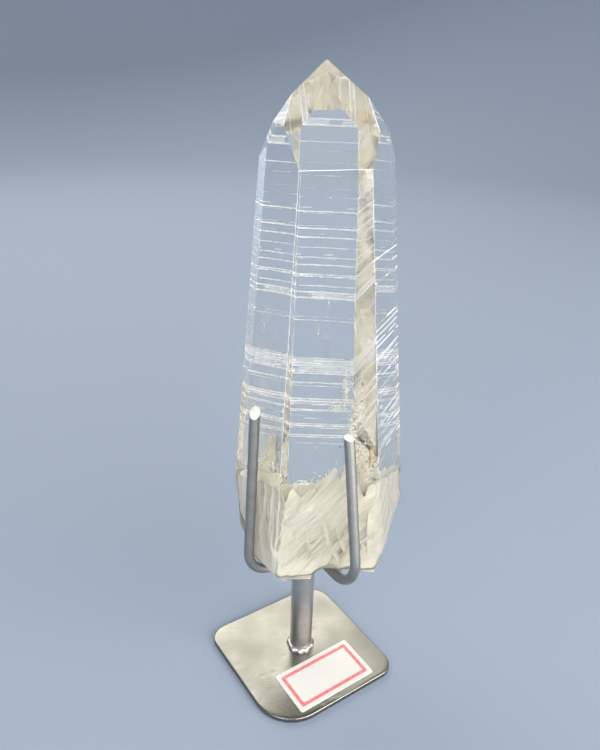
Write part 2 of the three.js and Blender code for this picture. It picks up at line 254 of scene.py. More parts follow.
class StudioSettings(bpy.types.PropertyGroup):
    floor: bpy.props.FloatVectorProperty(
        name="Floor", description="Colour of the floor", subtype="COLOR", default=(0.21, 0.26, 0.345), min=0, max=1)
    floor_radius: bpy.props.FloatProperty(
        name="Floor radius", description="Radius of the flat part of the floor", default=1.1, unit="LENGTH")
    wall_height: bpy.props.FloatProperty(
        name="Sweep height", description="How high the floor sweeps up all round", default=0.7, unit="LENGTH")
    key_power: bpy.props.FloatProperty(
        name="Key light", description="Power of the soft key light in watts", default=47, min=0)
    side_power: bpy.props.FloatProperty(
        name="Side light", description="Power of the soft light from the left in watts", default=12, min=0)
    rim_power: bpy.props.FloatProperty(
        name="Rim light", description="Power of the soft light from behind in watts", default=16, min=0)
    sky: bpy.props.FloatProperty(
        name="Sky strength", description="Strength of the light from all round", default=1.0, min=0)
    lens: bpy.props.FloatProperty(
        name="Lens", description="Focal length of the camera in mm for a 36 mm sensor", default=32.64, min=1)


# Small helpers

def facing(azimuth, lift=0.0):
    """Unit vector at an azimuth, raised by lift, both in degrees."""
    turn = math.radians(azimuth)
    rise = math.radians(lift)
    return Vector((math.sin(turn) * math.cos(rise), -math.cos(turn) * math.cos(rise), math.sin(rise)))


def smooth_step(low, high, value):
    share = min(1.0, max(0.0, (value - low) / (high - low)))
    return share * share * (3 - 2 * share)


def crystal_matrix():
    """Turns a point of the crystal's own frame, in mm, into the object's frame, in metres."""
    lean_x = Matrix.Rotation(math.radians(CRYSTAL_LEAN_X), 4, "X")
    lean_y = Matrix.Rotation(math.radians(CRYSTAL_LEAN_Y), 4, "Y")
    turn = Matrix.Rotation(math.radians(CRYSTAL_TURN), 4, "Z")
    place = Matrix.Translation(Vector(CRYSTAL_FOOT) * MM)
    return place @ lean_x @ lean_y @ turn @ Matrix.Scale(MM, 4)


def mesh_object(name, points, faces, material_indices=None):
    mesh = bpy.data.meshes.new(name)
    mesh.from_pydata([tuple(point) for point in points], [], faces)
    if material_indices:
        mesh.polygons.foreach_set("material_index", material_indices)
    mesh.update()
    piece = bpy.data.objects.new(name, mesh)
    bpy.context.scene.collection.objects.link(piece)
    return piece


def remove_object(piece):
    mesh = piece.data
    bpy.data.objects.remove(piece)
    if isinstance(mesh, bpy.types.Mesh) and not mesh.users:
        bpy.data.meshes.remove(mesh)


def baked(piece):
    """Applies every modifier of a piece, and leaves it a plain mesh."""
    graph = bpy.context.evaluated_depsgraph_get()
    graph.update()
    mesh = bpy.data.meshes.new_from_object(piece.evaluated_get(graph))
    piece.modifiers.clear()
    old = piece.data
    piece.data = mesh
    mesh.name = piece.name
    if isinstance(old, bpy.types.Mesh) and not old.users:
        bpy.data.meshes.remove(old)
    return piece


def cut(piece, cutters, operation="DIFFERENCE"):
    """Cuts a piece with closed cutters, one after another, and removes them."""
    for cutter in cutters:
        modifier = piece.modifiers.new("cut", "BOOLEAN")
        modifier.solver = "MANIFOLD"
        modifier.operation = operation
        modifier.object = cutter
    baked(piece)
    for cutter in cutters:
        remove_object(cutter)
    if not piece.data.polygons:
        raise RuntimeError(f"nothing is left of {piece.name} after its cuts")
    return piece


def set_materials(piece, materials):
    """Fills a piece's material slots in order, so that each face keeps the slot it has."""
    slots = piece.data.materials
    for index, material in enumerate(materials):
        if index < len(slots):
            slots[index] = material
        else:
            slots.append(material)


def sharpen(piece, degrees):
    """Smooth shading with sharp edges where two faces meet at more than some degrees."""
    piece.data.polygons.foreach_set("use_smooth", [True] * len(piece.data.polygons))
    piece.data.set_sharp_from_angle(angle=math.radians(degrees))


def finish_piece(piece, slot, *nodes):
    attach(piece, "root")
    if nodes:
        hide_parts(*nodes)


# Node tree helpers

def add_node(tree, kind, inputs=None, **settings):
    node = tree.nodes.new(kind)
    for name, value in settings.items():
        setattr(node, name, value)
    for name, value in (inputs or {}).items():
        socket = node.inputs[name]
        if isinstance(value, bpy.types.NodeSocket):
            tree.links.new(value, socket)
        else:
            socket.default_value = value
    return node


def math_node(tree, operation, first, second=0.0, clamp=False):
    return add_node(tree, "ShaderNodeMath", {0: first, 1: second}, operation=operation, use_clamp=clamp).outputs[0]


def colour_mix(tree, factor, first, second):
    node = add_node(tree, "ShaderNodeMix", data_type="RGBA")
    for name, value in (("Factor", factor), ("A", first), ("B", second)):
        sockets = [item for item in node.inputs if item.name == name and item.enabled]
        socket = sockets[0]
        if isinstance(value, bpy.types.NodeSocket):
            tree.links.new(value, socket)
        else:
            socket.default_value = value
    return [item for item in node.outputs if item.enabled][0]


def value_range(tree, value, low, high, to_low=0.0, to_high=1.0):
    sockets = {"Value": value, "From Min": low, "From Max": high, "To Min": to_low, "To Max": to_high}
    return add_node(tree, "ShaderNodeMapRange", sockets).outputs["Result"]


def rgba(colour, alpha=1.0):
    return (colour[0], colour[1], colour[2], alpha)


def shader_group(name, inputs, outputs):
    """An empty shader node group with named sockets. Each input is (kind, default) and each output is a kind."""
    group = bpy.data.node_groups.new(name, "ShaderNodeTree")
    for label, (kind, default) in inputs.items():
        socket = group.interface.new_socket(label, in_out="INPUT", socket_type=kind)
        socket.default_value = default
    for label, kind in outputs.items():
        group.interface.new_socket(label, in_out="OUTPUT", socket_type=kind)
    return group, group.nodes.new("NodeGroupInput"), group.nodes.new("NodeGroupOutput")


def cloud_group():
    """Patches of soft noise: a mask from 0 to 1 with a named size, share and softness."""
    name = "Patchy cloud"
    if name in bpy.data.node_groups:
        return bpy.data.node_groups[name]
    group, given, result = shader_group(
        name,
        {"Vector": ("NodeSocketVector", (0, 0, 0)), "Scale": ("NodeSocketFloat", 100.0),
         "Detail": ("NodeSocketFloat", 4.0), "Threshold": ("NodeSocketFloat", 0.5),
         "Softness": ("NodeSocketFloat", 0.1)},
        {"Mask": "NodeSocketFloat"})
    field = add_node(group, "ShaderNodeTexNoise", {
        "Vector": given.outputs["Vector"], "Scale": given.outputs["Scale"], "Detail": given.outputs["Detail"]})
    low = math_node(group, "SUBTRACT", given.outputs["Threshold"], given.outputs["Softness"])
    high = math_node(group, "ADD", given.outputs["Threshold"], given.outputs["Softness"])
    mask = value_range(group, field.outputs["Fac"], low, high)
    group.links.new(mask, result.inputs["Mask"])
    return group


def scratch_group():
    """Fine scratches that run one way: a height and a mask, stretched along the vector's X axis."""
    name = "Fine scratches"
    if name in bpy.data.node_groups:
        return bpy.data.node_groups[name]
    group, given, result = shader_group(
        name,
        {"Vector": ("NodeSocketVector", (0, 0, 0)), "Scale": ("NodeSocketFloat", 2000.0),
         "Stretch": ("NodeSocketFloat", 30.0)},
        {"Height": "NodeSocketFloat", "Mask": "NodeSocketFloat"})
    split = add_node(group, "ShaderNodeSeparateXYZ", {0: given.outputs["Vector"]})
    along = math_node(group, "DIVIDE", split.outputs["X"], given.outputs["Stretch"])
    joined = add_node(group, "ShaderNodeCombineXYZ", {
        "X": along, "Y": split.outputs["Y"], "Z": split.outputs["Z"]})
    field = add_node(group, "ShaderNodeTexNoise", {
        "Vector": joined.outputs[0], "Scale": given.outputs["Scale"], "Detail": 3.0})
    group.links.new(field.outputs["Fac"], result.inputs["Height"])
    mask = value_range(group, field.outputs["Fac"], 0.56, 0.7)
    group.links.new(mask, result.inputs["Mask"])
    return group


def use_group(tree, group, inputs):
    node = tree.nodes.new("ShaderNodeGroup")
    node.node_tree = group
    for name, value in inputs.items():
        if isinstance(value, bpy.types.NodeSocket):
            tree.links.new(value, node.inputs[name])
        else:
            node.inputs[name].default_value = value
    return node


def new_material(name):
    """A material with its Principled shader, and the Object coordinates that its patterns read."""
    material = bpy.data.materials.new(name)
    material.use_nodes = True
    tree = material.node_tree
    shader = tree.nodes["Principled BSDF"]
    place = tree.nodes.new("ShaderNodeTexCoord").outputs["Object"]
    return material, tree, shader, place


def add_bump(tree, shader, height, strength, distance):
    bump = add_node(tree, "ShaderNodeBump", {"Strength": strength, "Distance": distance, "Height": height})
    tree.links.new(bump.outputs["Normal"], shader.inputs["Normal"])


def crystal_place(tree, place):
    """Object coordinates turned to the crystal's axis, so that a pattern on Z runs along its growth."""
    mapping = add_node(tree, "ShaderNodeMapping", {"Vector": place}, vector_type="TEXTURE")
    mapping.inputs["Location"].default_value = Vector(CRYSTAL_FOOT) * MM
    mapping.inputs["Rotation"].default_value = crystal_matrix().to_euler("XYZ")
    return mapping.outputs["Vector"]


# Materials

def clear_quartz(settings):
    """Polished natural faces: clear, with faint growth lines and hardly any haze."""
    material, tree, shader, place = new_material("clear_quartz")
    along = crystal_place(tree, place)
    shader.inputs["Base Color"].default_value = rgba(settings.tint)
    shader.inputs["Transmission Weight"].default_value = 1.0
    shader.inputs["IOR"].default_value = settings.ior
    haze = use_group(tree, cloud_group(), {
        "Vector": along, "Scale": 90.0, "Detail": 5.0, "Threshold": 0.62, "Softness": 0.12})
    tree.links.new(value_range(tree, haze.outputs["Mask"], 0, 1, 0.0, 0.06), shader.inputs["Roughness"])
    stretch = add_node(tree, "ShaderNodeMapping", {"Vector": along})
    stretch.inputs["Scale"].default_value = (0.02, 0.02, 1.0)
    lines = add_node(tree, "ShaderNodeTexNoise", {
        "Vector": stretch.outputs["Vector"], "Scale": 1600.0, "Detail": 4.0})
    add_bump(tree, shader, lines.outputs["Fac"], 0.12, 0.00004)
    return material


def satin_quartz(settings):
    """Bands of very close growth lines, which blur what is seen through them."""
    material, tree, shader, place = new_material("satin_quartz")
    along = crystal_place(tree, place)
    shader.inputs["Base Color"].default_value = rgba(settings.frost)
    shader.inputs["Transmission Weight"].default_value = 0.66
    shader.inputs["IOR"].default_value = settings.ior
    stretch = add_node(tree, "ShaderNodeMapping", {"Vector": along})
    stretch.inputs["Scale"].default_value = (0.05, 0.05, 1.0)
    lines = add_node(tree, "ShaderNodeTexNoise", {
        "Vector": stretch.outputs["Vector"], "Scale": 2600.0, "Detail": 4.0})
    tree.links.new(value_range(tree, lines.outputs["Fac"], 0.35, 0.65, 0.06, 0.32), shader.inputs["Roughness"])
    add_bump(tree, shader, lines.outputs["Fac"], 0.5, 0.0001)
    return material


def frosted_quartz(settings):
    """Treads of the ledges, worn edges and bruises, which scatter light white."""
    material, tree, shader, place = new_material("frosted_quartz")
    shader.inputs["Transmission Weight"].default_value = 0.2
    shader.inputs["IOR"].default_value = settings.ior
    grain = use_group(tree, cloud_group(), {
        "Vector": place, "Scale": 1500.0, "Detail": 4.0, "Threshold": 0.5, "Softness": 0.2})
    tone = colour_mix(tree, grain.outputs["Mask"], rgba([value * 0.86 for value in settings.frost]),
                      rgba(settings.frost))
    tree.links.new(tone, shader.inputs["Base Color"])
    tree.links.new(value_range(tree, grain.outputs["Mask"], 0, 1, 0.45, 0.65), shader.inputs["Roughness"])
    add_bump(tree, shader, grain.outputs["Mask"], 0.4, 0.00005)
    return material


def broken_quartz(settings):
    """Fresh shell-like breaks of the foot: clear in places, dull in others, with a pale skin."""
    material, tree, shader, place = new_material("broken_quartz")
    shader.inputs["Transmission Weight"].default_value = 0.4
    shader.inputs["IOR"].default_value = settings.ior
    dull = use_group(tree, cloud_group(), {
        "Vector": place, "Scale": 160.0, "Detail": 6.0, "Threshold": 0.5, "Softness": 0.16})
    tone = colour_mix(tree, dull.outputs["Mask"], rgba(settings.tint), rgba((0.95, 0.91, 0.79)))
    tree.links.new(tone, shader.inputs["Base Color"])
    tree.links.new(value_range(tree, dull.outputs["Mask"], 0, 1, 0.05, 0.42), shader.inputs["Roughness"])
    fine = add_node(tree, "ShaderNodeTexNoise", {"Vector": place, "Scale": 1400.0, "Detail": 5.0})
    add_bump(tree, shader, fine.outputs["Fac"], 0.25, 0.0001)
    return material


def milk_material(settings):
    """Milky mass, leaves and grains: cream ridges with greyer valleys, and fine streaks along the folds. The greyer
    valleys are painted shade in the folds, the darker right side is painted shade and the lighter left side is painted
    light.
    """
    material, tree, shader, place = new_material("milky_veil")
    patches = use_group(tree, cloud_group(), {
        "Vector": place, "Scale": 130.0, "Detail": 4.0, "Threshold": 0.55, "Softness": 0.2})
    streak = add_node(tree, "ShaderNodeAttribute", attribute_name="streak")
    leaf = add_node(tree, "ShaderNodeAttribute", attribute_name="leaf")
    fold = add_node(tree, "ShaderNodeAttribute", attribute_name="fold")
    stretched = add_node(tree, "ShaderNodeVectorMath", {0: leaf.outputs["Vector"], 1: (2.0, 16.0, 1.0)},
                         operation="MULTIPLY")
    both = add_node(tree, "ShaderNodeVectorMath", {0: stretched.outputs[0], 1: streak.outputs["Vector"]},
                    operation="ADD")
    fibres = add_node(tree, "ShaderNodeTexNoise", {"Vector": both.outputs[0], "Scale": 1.6, "Detail": 5.0})
    tone = colour_mix(tree, patches.outputs["Mask"], rgba(settings.milk), rgba((0.85, 0.84, 0.77)))
    # Painted shade: the deeper a fold, the greyer and darker its colour, as if shaded in the crease.
    painted_valley_shade = value_range(tree, fold.outputs["Fac"], 1.0, 3.0, 0.0, 0.75)
    tone = colour_mix(tree, painted_valley_shade, tone, rgba((0.68, 0.67, 0.56)))
    sides = add_node(tree, "ShaderNodeSeparateXYZ", {"Vector": crystal_place(tree, place)})
    # Painted shade: darker towards +X, where the key light falls strongest.
    right = value_range(tree, sides.outputs["X"], 11 * MM, 17 * MM, 0.0, 0.55)
    tone = colour_mix(tree, right, tone, rgba((0.56, 0.545, 0.49)))
    # Painted light: lighter towards -X, where the mass is in shade.
    left = value_range(tree, sides.outputs["X"], -13 * MM, -18 * MM, 0.0, 0.85)
    tone = colour_mix(tree, left, tone, rgba((1.0, 0.97, 0.85)))
    shade = value_range(tree, fibres.outputs["Fac"], 0.3, 0.5)
    dark = [value * 0.78 for value in settings.milk]
    tree.links.new(colour_mix(tree, shade, rgba(dark), tone), shader.inputs["Base Color"])
    shader.inputs["Roughness"].default_value = 0.4
    add_bump(tree, shader, fibres.outputs["Fac"], 0.4, 0.0004)
    return material


def stain_material(settings):
    """Iron stain that has crept into the cracks."""
    material, tree, shader, place = new_material("iron_stain")
    patches = use_group(tree, cloud_group(), {
        "Vector": place, "Scale": 500.0, "Detail": 4.0, "Threshold": 0.5, "Softness": 0.15})
    tone = colour_mix(tree, patches.outputs["Mask"], rgba([value * 0.72 for value in settings.iron]),
                      rgba((0.9, 0.76, 0.5)))
    tree.links.new(tone, shader.inputs["Base Color"])
    shader.inputs["Roughness"].default_value = 0.5
    return material


def speck_material():
    """Dark mineral specks."""
    material, tree, shader, place = new_material("dark_speck")
    tones = add_node(tree, "ShaderNodeTexNoise", {"Vector": place, "Scale": 700.0, "Detail": 2.0})
    tone = colour_mix(tree, tones.outputs["Fac"], rgba((0.03, 0.022, 0.018)), rgba((0.16, 0.1, 0.06)))
    tree.links.new(tone, shader.inputs["Base Color"])
    shader.inputs["Roughness"].default_value = 0.55
    return material


def steel_material(name, colour, roughness, turn, smudge_scale):
    """Satin steel with fine scratches along one way and softer smudges."""
    material, tree, shader, place = new_material(name)
    shader.inputs["Metallic"].default_value = 1.0
    turned = add_node(tree, "ShaderNodeMapping", {"Vector": place})
    turned.inputs["Rotation"].default_value = turn
    scratches = use_group(tree, scratch_group(), {
        "Vector": turned.outputs["Vector"], "Scale": 2600.0, "Stretch": 40.0})
    smudges = use_group(tree, cloud_group(), {
        "Vector": place, "Scale": smudge_scale, "Detail": 5.0, "Threshold": 0.52, "Softness": 0.2})
    dark = [value * 0.8 for value in colour]
    tone = colour_mix(tree, smudges.outputs["Mask"], rgba(colour), rgba(dark))
    tree.links.new(tone, shader.inputs["Base Color"])
    base = value_range(tree, smudges.outputs["Mask"], 0, 1, roughness - 0.05, roughness + 0.09)
    added = math_node(tree, "MULTIPLY", scratches.outputs["Mask"], 0.08)
    tree.links.new(math_node(tree, "ADD", base, added), shader.inputs["Roughness"])
    add_bump(tree, shader, scratches.outputs["Height"], 0.1, 0.00004)
    return material


def cut_steel(colour):
    """Bright, torn steel of the wires' cut ends."""
    material, tree, shader, place = new_material("cut_steel")
    shader.inputs["Metallic"].default_value = 1.0
    burrs = use_group(tree, cloud_group(), {
        "Vector": place, "Scale": 1400.0, "Detail": 4.0, "Threshold": 0.5, "Softness": 0.2})
    tone = colour_mix(tree, burrs.outputs["Mask"], rgba(colour), rgba((0.97, 0.97, 0.94)))
    tree.links.new(tone, shader.inputs["Base Color"])
    tree.links.new(value_range(tree, burrs.outputs["Mask"], 0, 1, 0.42, 0.6), shader.inputs["Roughness"])
    add_bump(tree, shader, burrs.outputs["Mask"], 0.5, 0.0001)
    return material


def paper_material(settings):
    """Matt white label paper with a little fibre."""
    material, tree, shader, place = new_material("label_paper")
    fibre = add_node(tree, "ShaderNodeTexNoise", {"Vector": place, "Scale": 1800.0, "Detail": 6.0})
    tone = colour_mix(tree, fibre.outputs["Fac"], rgba([value * 0.94 for value in settings.paper]),
                      rgba(settings.paper))
    tree.links.new(tone, shader.inputs["Base Color"])
    shader.inputs["Roughness"].default_value = 0.7
    add_bump(tree, shader, fibre.outputs["Fac"], 0.2, 0.00005)
    return material


def ink_material(settings):
    """Printed frame of the label, slightly uneven as laser or offset ink is."""
    material, tree, shader, place = new_material("label_ink")
    spots = use_group(tree, cloud_group(), {
        "Vector": place, "Scale": 900.0, "Detail": 3.0, "Threshold": 0.56, "Softness": 0.12})
    lighter = [value * 0.85 + 0.12 for value in settings.ink]
    tone = colour_mix(tree, spots.outputs["Mask"], rgba(settings.ink), rgba(lighter))
    tree.links.new(tone, shader.inputs["Base Color"])
    shader.inputs["Roughness"].default_value = 0.5
    return material


def floor_material(settings):
    """Plain matt floor with the faintest unevenness."""
    material, tree, shader, place = new_material("studio_floor")
    patches = add_node(tree, "ShaderNodeTexNoise", {"Vector": place, "Scale": 3.0, "Detail": 2.0})
    tone = colour_mix(tree, patches.outputs["Fac"], rgba([value * 0.97 for value in settings.floor]),
                      rgba(settings.floor))
    tree.links.new(tone, shader.inputs["Base Color"])
    shader.inputs["Roughness"].default_value = 0.8
    return material


# Shape of the crystal

def ledges_of_face(face, chance):
    """The ladder of one long face: for each ledge its height, its rise and how much of it is frosted."""
    ledges = [dict(height=height, rise=rise * 1.15, frost=frost) for height, rise, frost in face["ledges"]]
    for low, high, count in face["fine"]:
        for index in range(count):
            height = low + (high - low) * (index + chance.uniform(0.1, 0.9)) / count
            if all(abs(height - ledge["height"]) > 0.3 for ledge in ledges):
                ledges.append(dict(height=height, rise=chance.uniform(0.06, 0.12), frost=chance.uniform(0.25, 0.75)))
    return sorted(ledges, key=lambda ledge: ledge["height"])


def face_reach(face, heights, height, share):
    """Distance of a long face from the axis: between two ledges it stands steeper than its mean slope."""
    slope = math.tan(math.radians(face["taper"]))
    below = [item for item in heights if item <= height]
    above = [item for item in heights if item > height]
    start = below[-1] if below else 0
    end = above[0] if above else SHAFT_HEIGHT
    held = share if below and above else 0
    return face["reach"] - height * slope + held * (height - (start + end) / 2) * slope


def corner_of(first, first_reach, second, second_reach):
    """Where the planes of two neighbouring long faces cross at one height."""
    a = facing(first["azimuth"])
    b = facing(second["azimuth"])
    det = a.x * b.y - a.y * b.x
    return Vector(((first_reach * b.y - second_reach * a.y) / det, (a.x * second_reach - b.x * first_reach) / det, 0))


FACE_STEPS = 18


def shaft_mesh(settings):
    """The six long faces with their ladders, as rings of points from the foot to above the point."""
    chance = random.Random(settings.seed)
    ladders = [ledges_of_face(face, chance) for face in SHAFT_FACES]
    present = [[ledge["height"] for ledge in ladder] for ladder in ladders]
    marks = [-BASE_ROOM, SHAFT_HEIGHT]
    for ladder in ladders:
        for ledge in ladder:
            marks += [ledge["height"] - ledge["rise"] / 2, ledge["height"] + ledge["rise"] / 2]
    marks.sort()
    levels = [marks[0]] + [mark for before, mark in zip(marks, marks[1:]) if mark - before > 0.004]
    sides = len(SHAFT_FACES)
    wear = settings.edge_wear / MM
    points = []
    for height in levels:
        reaches = [face_reach(face, present[index], height, settings.ledge_share)
                   for index, face in enumerate(SHAFT_FACES)]
        corners = [corner_of(SHAFT_FACES[index - 1], reaches[index - 1], SHAFT_FACES[index], reaches[index])
                   for index in range(sides)]
        for index in range(sides):
            start = corners[index]
            end = corners[(index + 1) % sides]
            along = (end - start).normalized()
            uneven = 0.6 + 3.6 * noise.noise(Vector((index * 7.3, height * 0.21, 0))) ** 2
            worn = wear * SHAFT_FACES[index]["wear"] * uneven
            worn_after = wear * SHAFT_FACES[(index + 1) % sides]["wear"] * uneven
            first = start + along * worn
            last = end - along * worn_after
            for step in range(FACE_STEPS + 1):
                point = first.lerp(last, step / FACE_STEPS)
                wave = 0.35 * noise.noise(Vector((point.x * 0.05, point.y * 0.05, height * 0.03)))
                points.append((point.x, point.y, height + wave - LEDGE_TILT * point.x))
    return skin_rings(points, levels, ladders)


def skin_rings(points, levels, ladders):
    """Joins the rings with faces, and gives each face its finish."""
    ring = len(SHAFT_FACES) * (FACE_STEPS + 1)
    faces = []
    finishes = []
    for level in range(len(levels) - 1):
        middle = (levels[level] + levels[level + 1]) / 2
        on_ledge = []
        for ladder in ladders:
            here = [ledge for ledge in ladder if abs(middle - ledge["height"]) < ledge["rise"] / 2]
            on_ledge.append(here[0] if here else None)
        for index in range(ring):
            a = level * ring + index
            b = level * ring + (index + 1) % ring
            faces.append((a, b, b + ring, a + ring))
            side, step = divmod(index, FACE_STEPS + 1)
            satin = any(low < middle < high for low, high in SHAFT_FACES[side]["satin"])
            patch = noise.noise(Vector((step * 0.16 + side * 13.1, middle * 0.35, 5.3)))
            finish = SATIN if satin and patch > -0.28 else CLEAR
            ledge = on_ledge[side]
            if ledge:
                reach = noise.noise(Vector((step * 0.16 + side * 13.1, ledge["height"] * 3.7, 1.7)))
                if reach * 0.9 + ledge["frost"] * 1.25 > 0.62:
                    finish = FROSTED
            if step == FACE_STEPS:
                finish = FROSTED
            finishes.append(finish)
    top = (len(levels) - 1) * ring
    faces.append(tuple(reversed(range(ring))))
    faces.append(tuple(range(top, top + ring)))
    finishes.extend((CLEAR, CLEAR))
    return mesh_object("crystal_body", points, faces, finishes)


def block_beyond(name, point, normal, finish, size=400.0, surface=None, steps=1):
    """A closed block that fills what lies beyond a plane. surface(u, v) gives the skin's height above the plane."""
    turn = Vector((0, 0, 1)).rotation_difference(normal).to_matrix()
    origin = Vector(point)
    points = []
    for row in range(steps + 1):
        for column in range(steps + 1):
            u = (column / steps - 0.5) * size
            v = (row / steps - 0.5) * size
            points.append(origin + turn @ Vector((u, v, surface(u, v) if surface else 0.0)))
    width = steps + 1
    faces = []
    for row in range(steps):
        for column in range(steps):
            a = row * width + column
            faces.append((a, a + width, a + width + 1, a + 1))
    rim = list(range(width))
    rim += [row * width + steps for row in range(1, width)]
    rim += [steps * width + column for column in range(steps - 1, -1, -1)]
    rim += [row * width for row in range(steps - 1, 0, -1)]
    base = len(points)
    for index in rim:
        row, column = divmod(index, width)
        u = (column / steps - 0.5) * size
        v = (row / steps - 0.5) * size
        points.append(origin + turn @ Vector((u, v, size)))
    count = len(rim)
    for index in range(count):
        after = (index + 1) % count
        faces.append((rim[index], rim[after], base + after, base + index))
    faces.append(tuple(base + index for index in range(count)))
    return mesh_object(name, points, faces, [finish] * len(faces))


def shell_ripple(seed, height):
    """Height of a shell-like break: arcs that spread from a strike point, rays across them and fine roughness."""
    chance = random.Random(seed)
    strike = Vector((chance.uniform(-26, 26), chance.uniform(-26, 26), 0))
    pitch = chance.uniform(2.2, 3.6)
    offset = Vector((seed * 3.1, seed * 1.7, 0))

    def surface(u, v):
        away = Vector((u, v, 0)) - strike
        distance = away.length
        bend = 2.2 * noise.noise((Vector((u, v, 0)) + offset) * 0.09)
        arc = math.sin((distance + bend) * math.tau / pitch)
        strength = 0.35 + 0.65 * smooth_step(-0.3, 0.4, noise.noise((Vector((u, v, 0)) - offset) * 0.07))
        ray = noise.noise(Vector((math.atan2(away.y, away.x) * 9, distance * 0.03, seed)))
        rough = noise.fractal(Vector((u, v, 0)) * 0.32 + offset, 0.9, 2.1, 5)
        swell = noise.noise((Vector((u, v, 0)) + offset) * 0.06)
        return height * (0.6 * arc * strength + 0.7 * ray + 0.75 * rough + 2.6 * swell)

    return surface


def rippled_ball(name, at, radius, seed, height):
    """A closed ball with the same shell-like ripples, for the hollow scars."""
    bm = bmesh.new()
    bmesh.ops.create_icosphere(bm, subdivisions=6, radius=radius)
    surface = shell_ripple(seed, height)
    centre = Vector(at)
    for vert in bm.verts:
        out = vert.co.normalized()
        lift = surface(out.x * radius * 1.5 + out.z * radius, out.y * radius * 1.5)
        vert.co = centre + out * (radius + 0.7 * lift)
    for face in bm.faces:
        face.material_index = BROKEN
    mesh = bpy.data.meshes.new(name)
    bm.to_mesh(mesh)
    bm.free()
    piece = bpy.data.objects.new(name, mesh)
    bpy.context.scene.collection.objects.link(piece)
    return piece


def worn_edges(settings):
    """Narrow cutters along the edges of the point, where its corners are rubbed."""
    planes = [(facing(face["azimuth"], face["lift"]), Vector((0, 0, face["peak"]))) for face in POINT_FACES]
    front = SHAFT_FACES[0]
    slope = math.tan(math.radians(front["taper"]))
    leaning = (facing(front["azimuth"]) + Vector((LEDGE_TILT * slope, 0, slope))).normalized()
    level = (planes[0][0] + leaning).normalized()
    edge = edge_point(planes[0], (leaning, facing(front["azimuth"]) * front["reach"]))
    cutters = [block_beyond("level_wear", edge - level * settings.point_wear / MM * 0.5, level, FROSTED)]
    for first in range(len(planes)):
        for second in range(first + 1, len(planes)):
            turn = (POINT_FACES[first]["azimuth"] - POINT_FACES[second]["azimuth"]) % 360
            at_back = max(facing(POINT_FACES[index]["azimuth"]).y for index in (first, second)) > 0.4
            if abs(turn - 180) < 50 or at_back:
                continue
            normal = (planes[first][0] + planes[second][0]).normalized()
            edge = edge_point(planes[first], planes[second])
            point = edge - normal * settings.point_wear / MM
            cutters.append(block_beyond("edge_wear", point, normal, FROSTED))
    return cutters


def edge_point(first, second):
    """The point nearest to the axis' top on the line where two planes cross."""
    (n1, p1), (n2, p2) = first, second
    top = Vector((0, 0, 148))
    d1 = n1.dot(p1 - top)
    d2 = n2.dot(p2 - top)
    dot = n1.dot(n2)
    det = 1 - dot * dot
    return top + n1 * ((d1 - d2 * dot) / det) + n2 * ((d2 - d1 * dot) / det)


def build_crystal(settings):
    body = shaft_mesh(settings)
    cutters = []
    for index, face in enumerate(POINT_FACES):
        cutters.append(block_beyond(f"point_{index}", (0, 0, face["peak"]), facing(face["azimuth"], face["lift"]),
                                    CLEAR))
    cutters += worn_edges(settings)
    for index, face in enumerate(BREAKS):
        cutters.append(block_beyond(f"break_{index}", face["at"], facing(face["azimuth"], face["lift"]), face["finish"],
                                    size=90, surface=shell_ripple(index + 11, settings.ripple / MM), steps=150))
    for index, scar in enumerate(SCARS):
        cutters.append(rippled_ball(f"scar_{index}", scar["at"], scar["radius"], index + 31, settings.ripple / MM))
    for index, chip in enumerate(CHIPS):
        cutters.append(rippled_ball(f"chip_{index}", chip["at"], chip["radius"], index + 51,
                                    settings.ripple / MM * 0.5))
    materials = [clear_quartz(settings), satin_quartz(settings), frosted_quartz(settings), broken_quartz(settings)]
    for piece in [body] + cutters:
        set_materials(piece, materials)
    cut(body, cutters)
    sharpen(body, 14)
    for face in body.data.polygons:
        face.use_smooth = face.center.z < FLAT_FROM[face.material_index]
    body.data.transform(crystal_matrix())
    body.data.update()
    finish_piece(body, "quartz", "crystal")
    return body


class QUARTZ_OT_crystal(bpy.types.Operator):
    """Build the clear crystal with its ladders, point and broken foot"""
    bl_idname = "quartz.build_crystal"
    bl_label = "Crystal"

    def execute(self, context):
        build_crystal(context.scene.quartz_body)
        return {"FINISHED"}


# Veils, grains and stains inside the crystal

def inside_crystal(point, room):
    """Whether a point of the crystal's frame is inside it, at least some room away from its skin."""
    for face in SHAFT_FACES:
        slope = math.tan(math.radians(face["taper"]))
        if facing(face["azimuth"]).dot(point) > face["reach"] - point.z * slope - room:
            return False
    for face in BREAKS:
        if facing(face["azimuth"], face["lift"]).dot(point - Vector(face["at"])) > -room - 1:
            return False
    return all((point - Vector(scar["at"])).length > scar["radius"] + room + 1 for scar in SCARS)


def skin_distance(centre, way, room):
    """How far a ray from a point inside goes before it comes within some room of the crystal's skin."""
    nearest = 200.0
    planes = []
    for face in SHAFT_FACES:
        slope = math.tan(math.radians(face["taper"]))
        planes.append((facing(face["azimuth"]) + Vector((0, 0, slope)), face["reach"] - room))
    for face in BREAKS:
        normal = facing(face["azimuth"], face["lift"])
        planes.append((normal, normal.dot(Vector(face["at"])) - 0.5))
    for normal, limit in planes:
        speed = normal.dot(way)
        if speed > 1e-6:
            nearest = min(nearest, (limit - normal.dot(centre)) / speed)
    for scar in SCARS:
        to_ball = Vector(scar["at"]) - centre
        ahead = to_ball.dot(way)
        missed = to_ball.length_squared - ahead * ahead
        radius = scar["radius"] + 0.5
        if ahead > 0 and missed < radius * radius:
            nearest = min(nearest, ahead - math.sqrt(radius * radius - missed))
    return max(0.5, nearest)


# The milky mass of the foot: its middle, the height of its top there, how much that drops for each mm towards +Y,
# and the room between it and the skin
MILK_CENTRE = (-1, -1, 14)
MILK_TOP = 27
MILK_DROP = 0.45
MILK_ROOM = 1.3
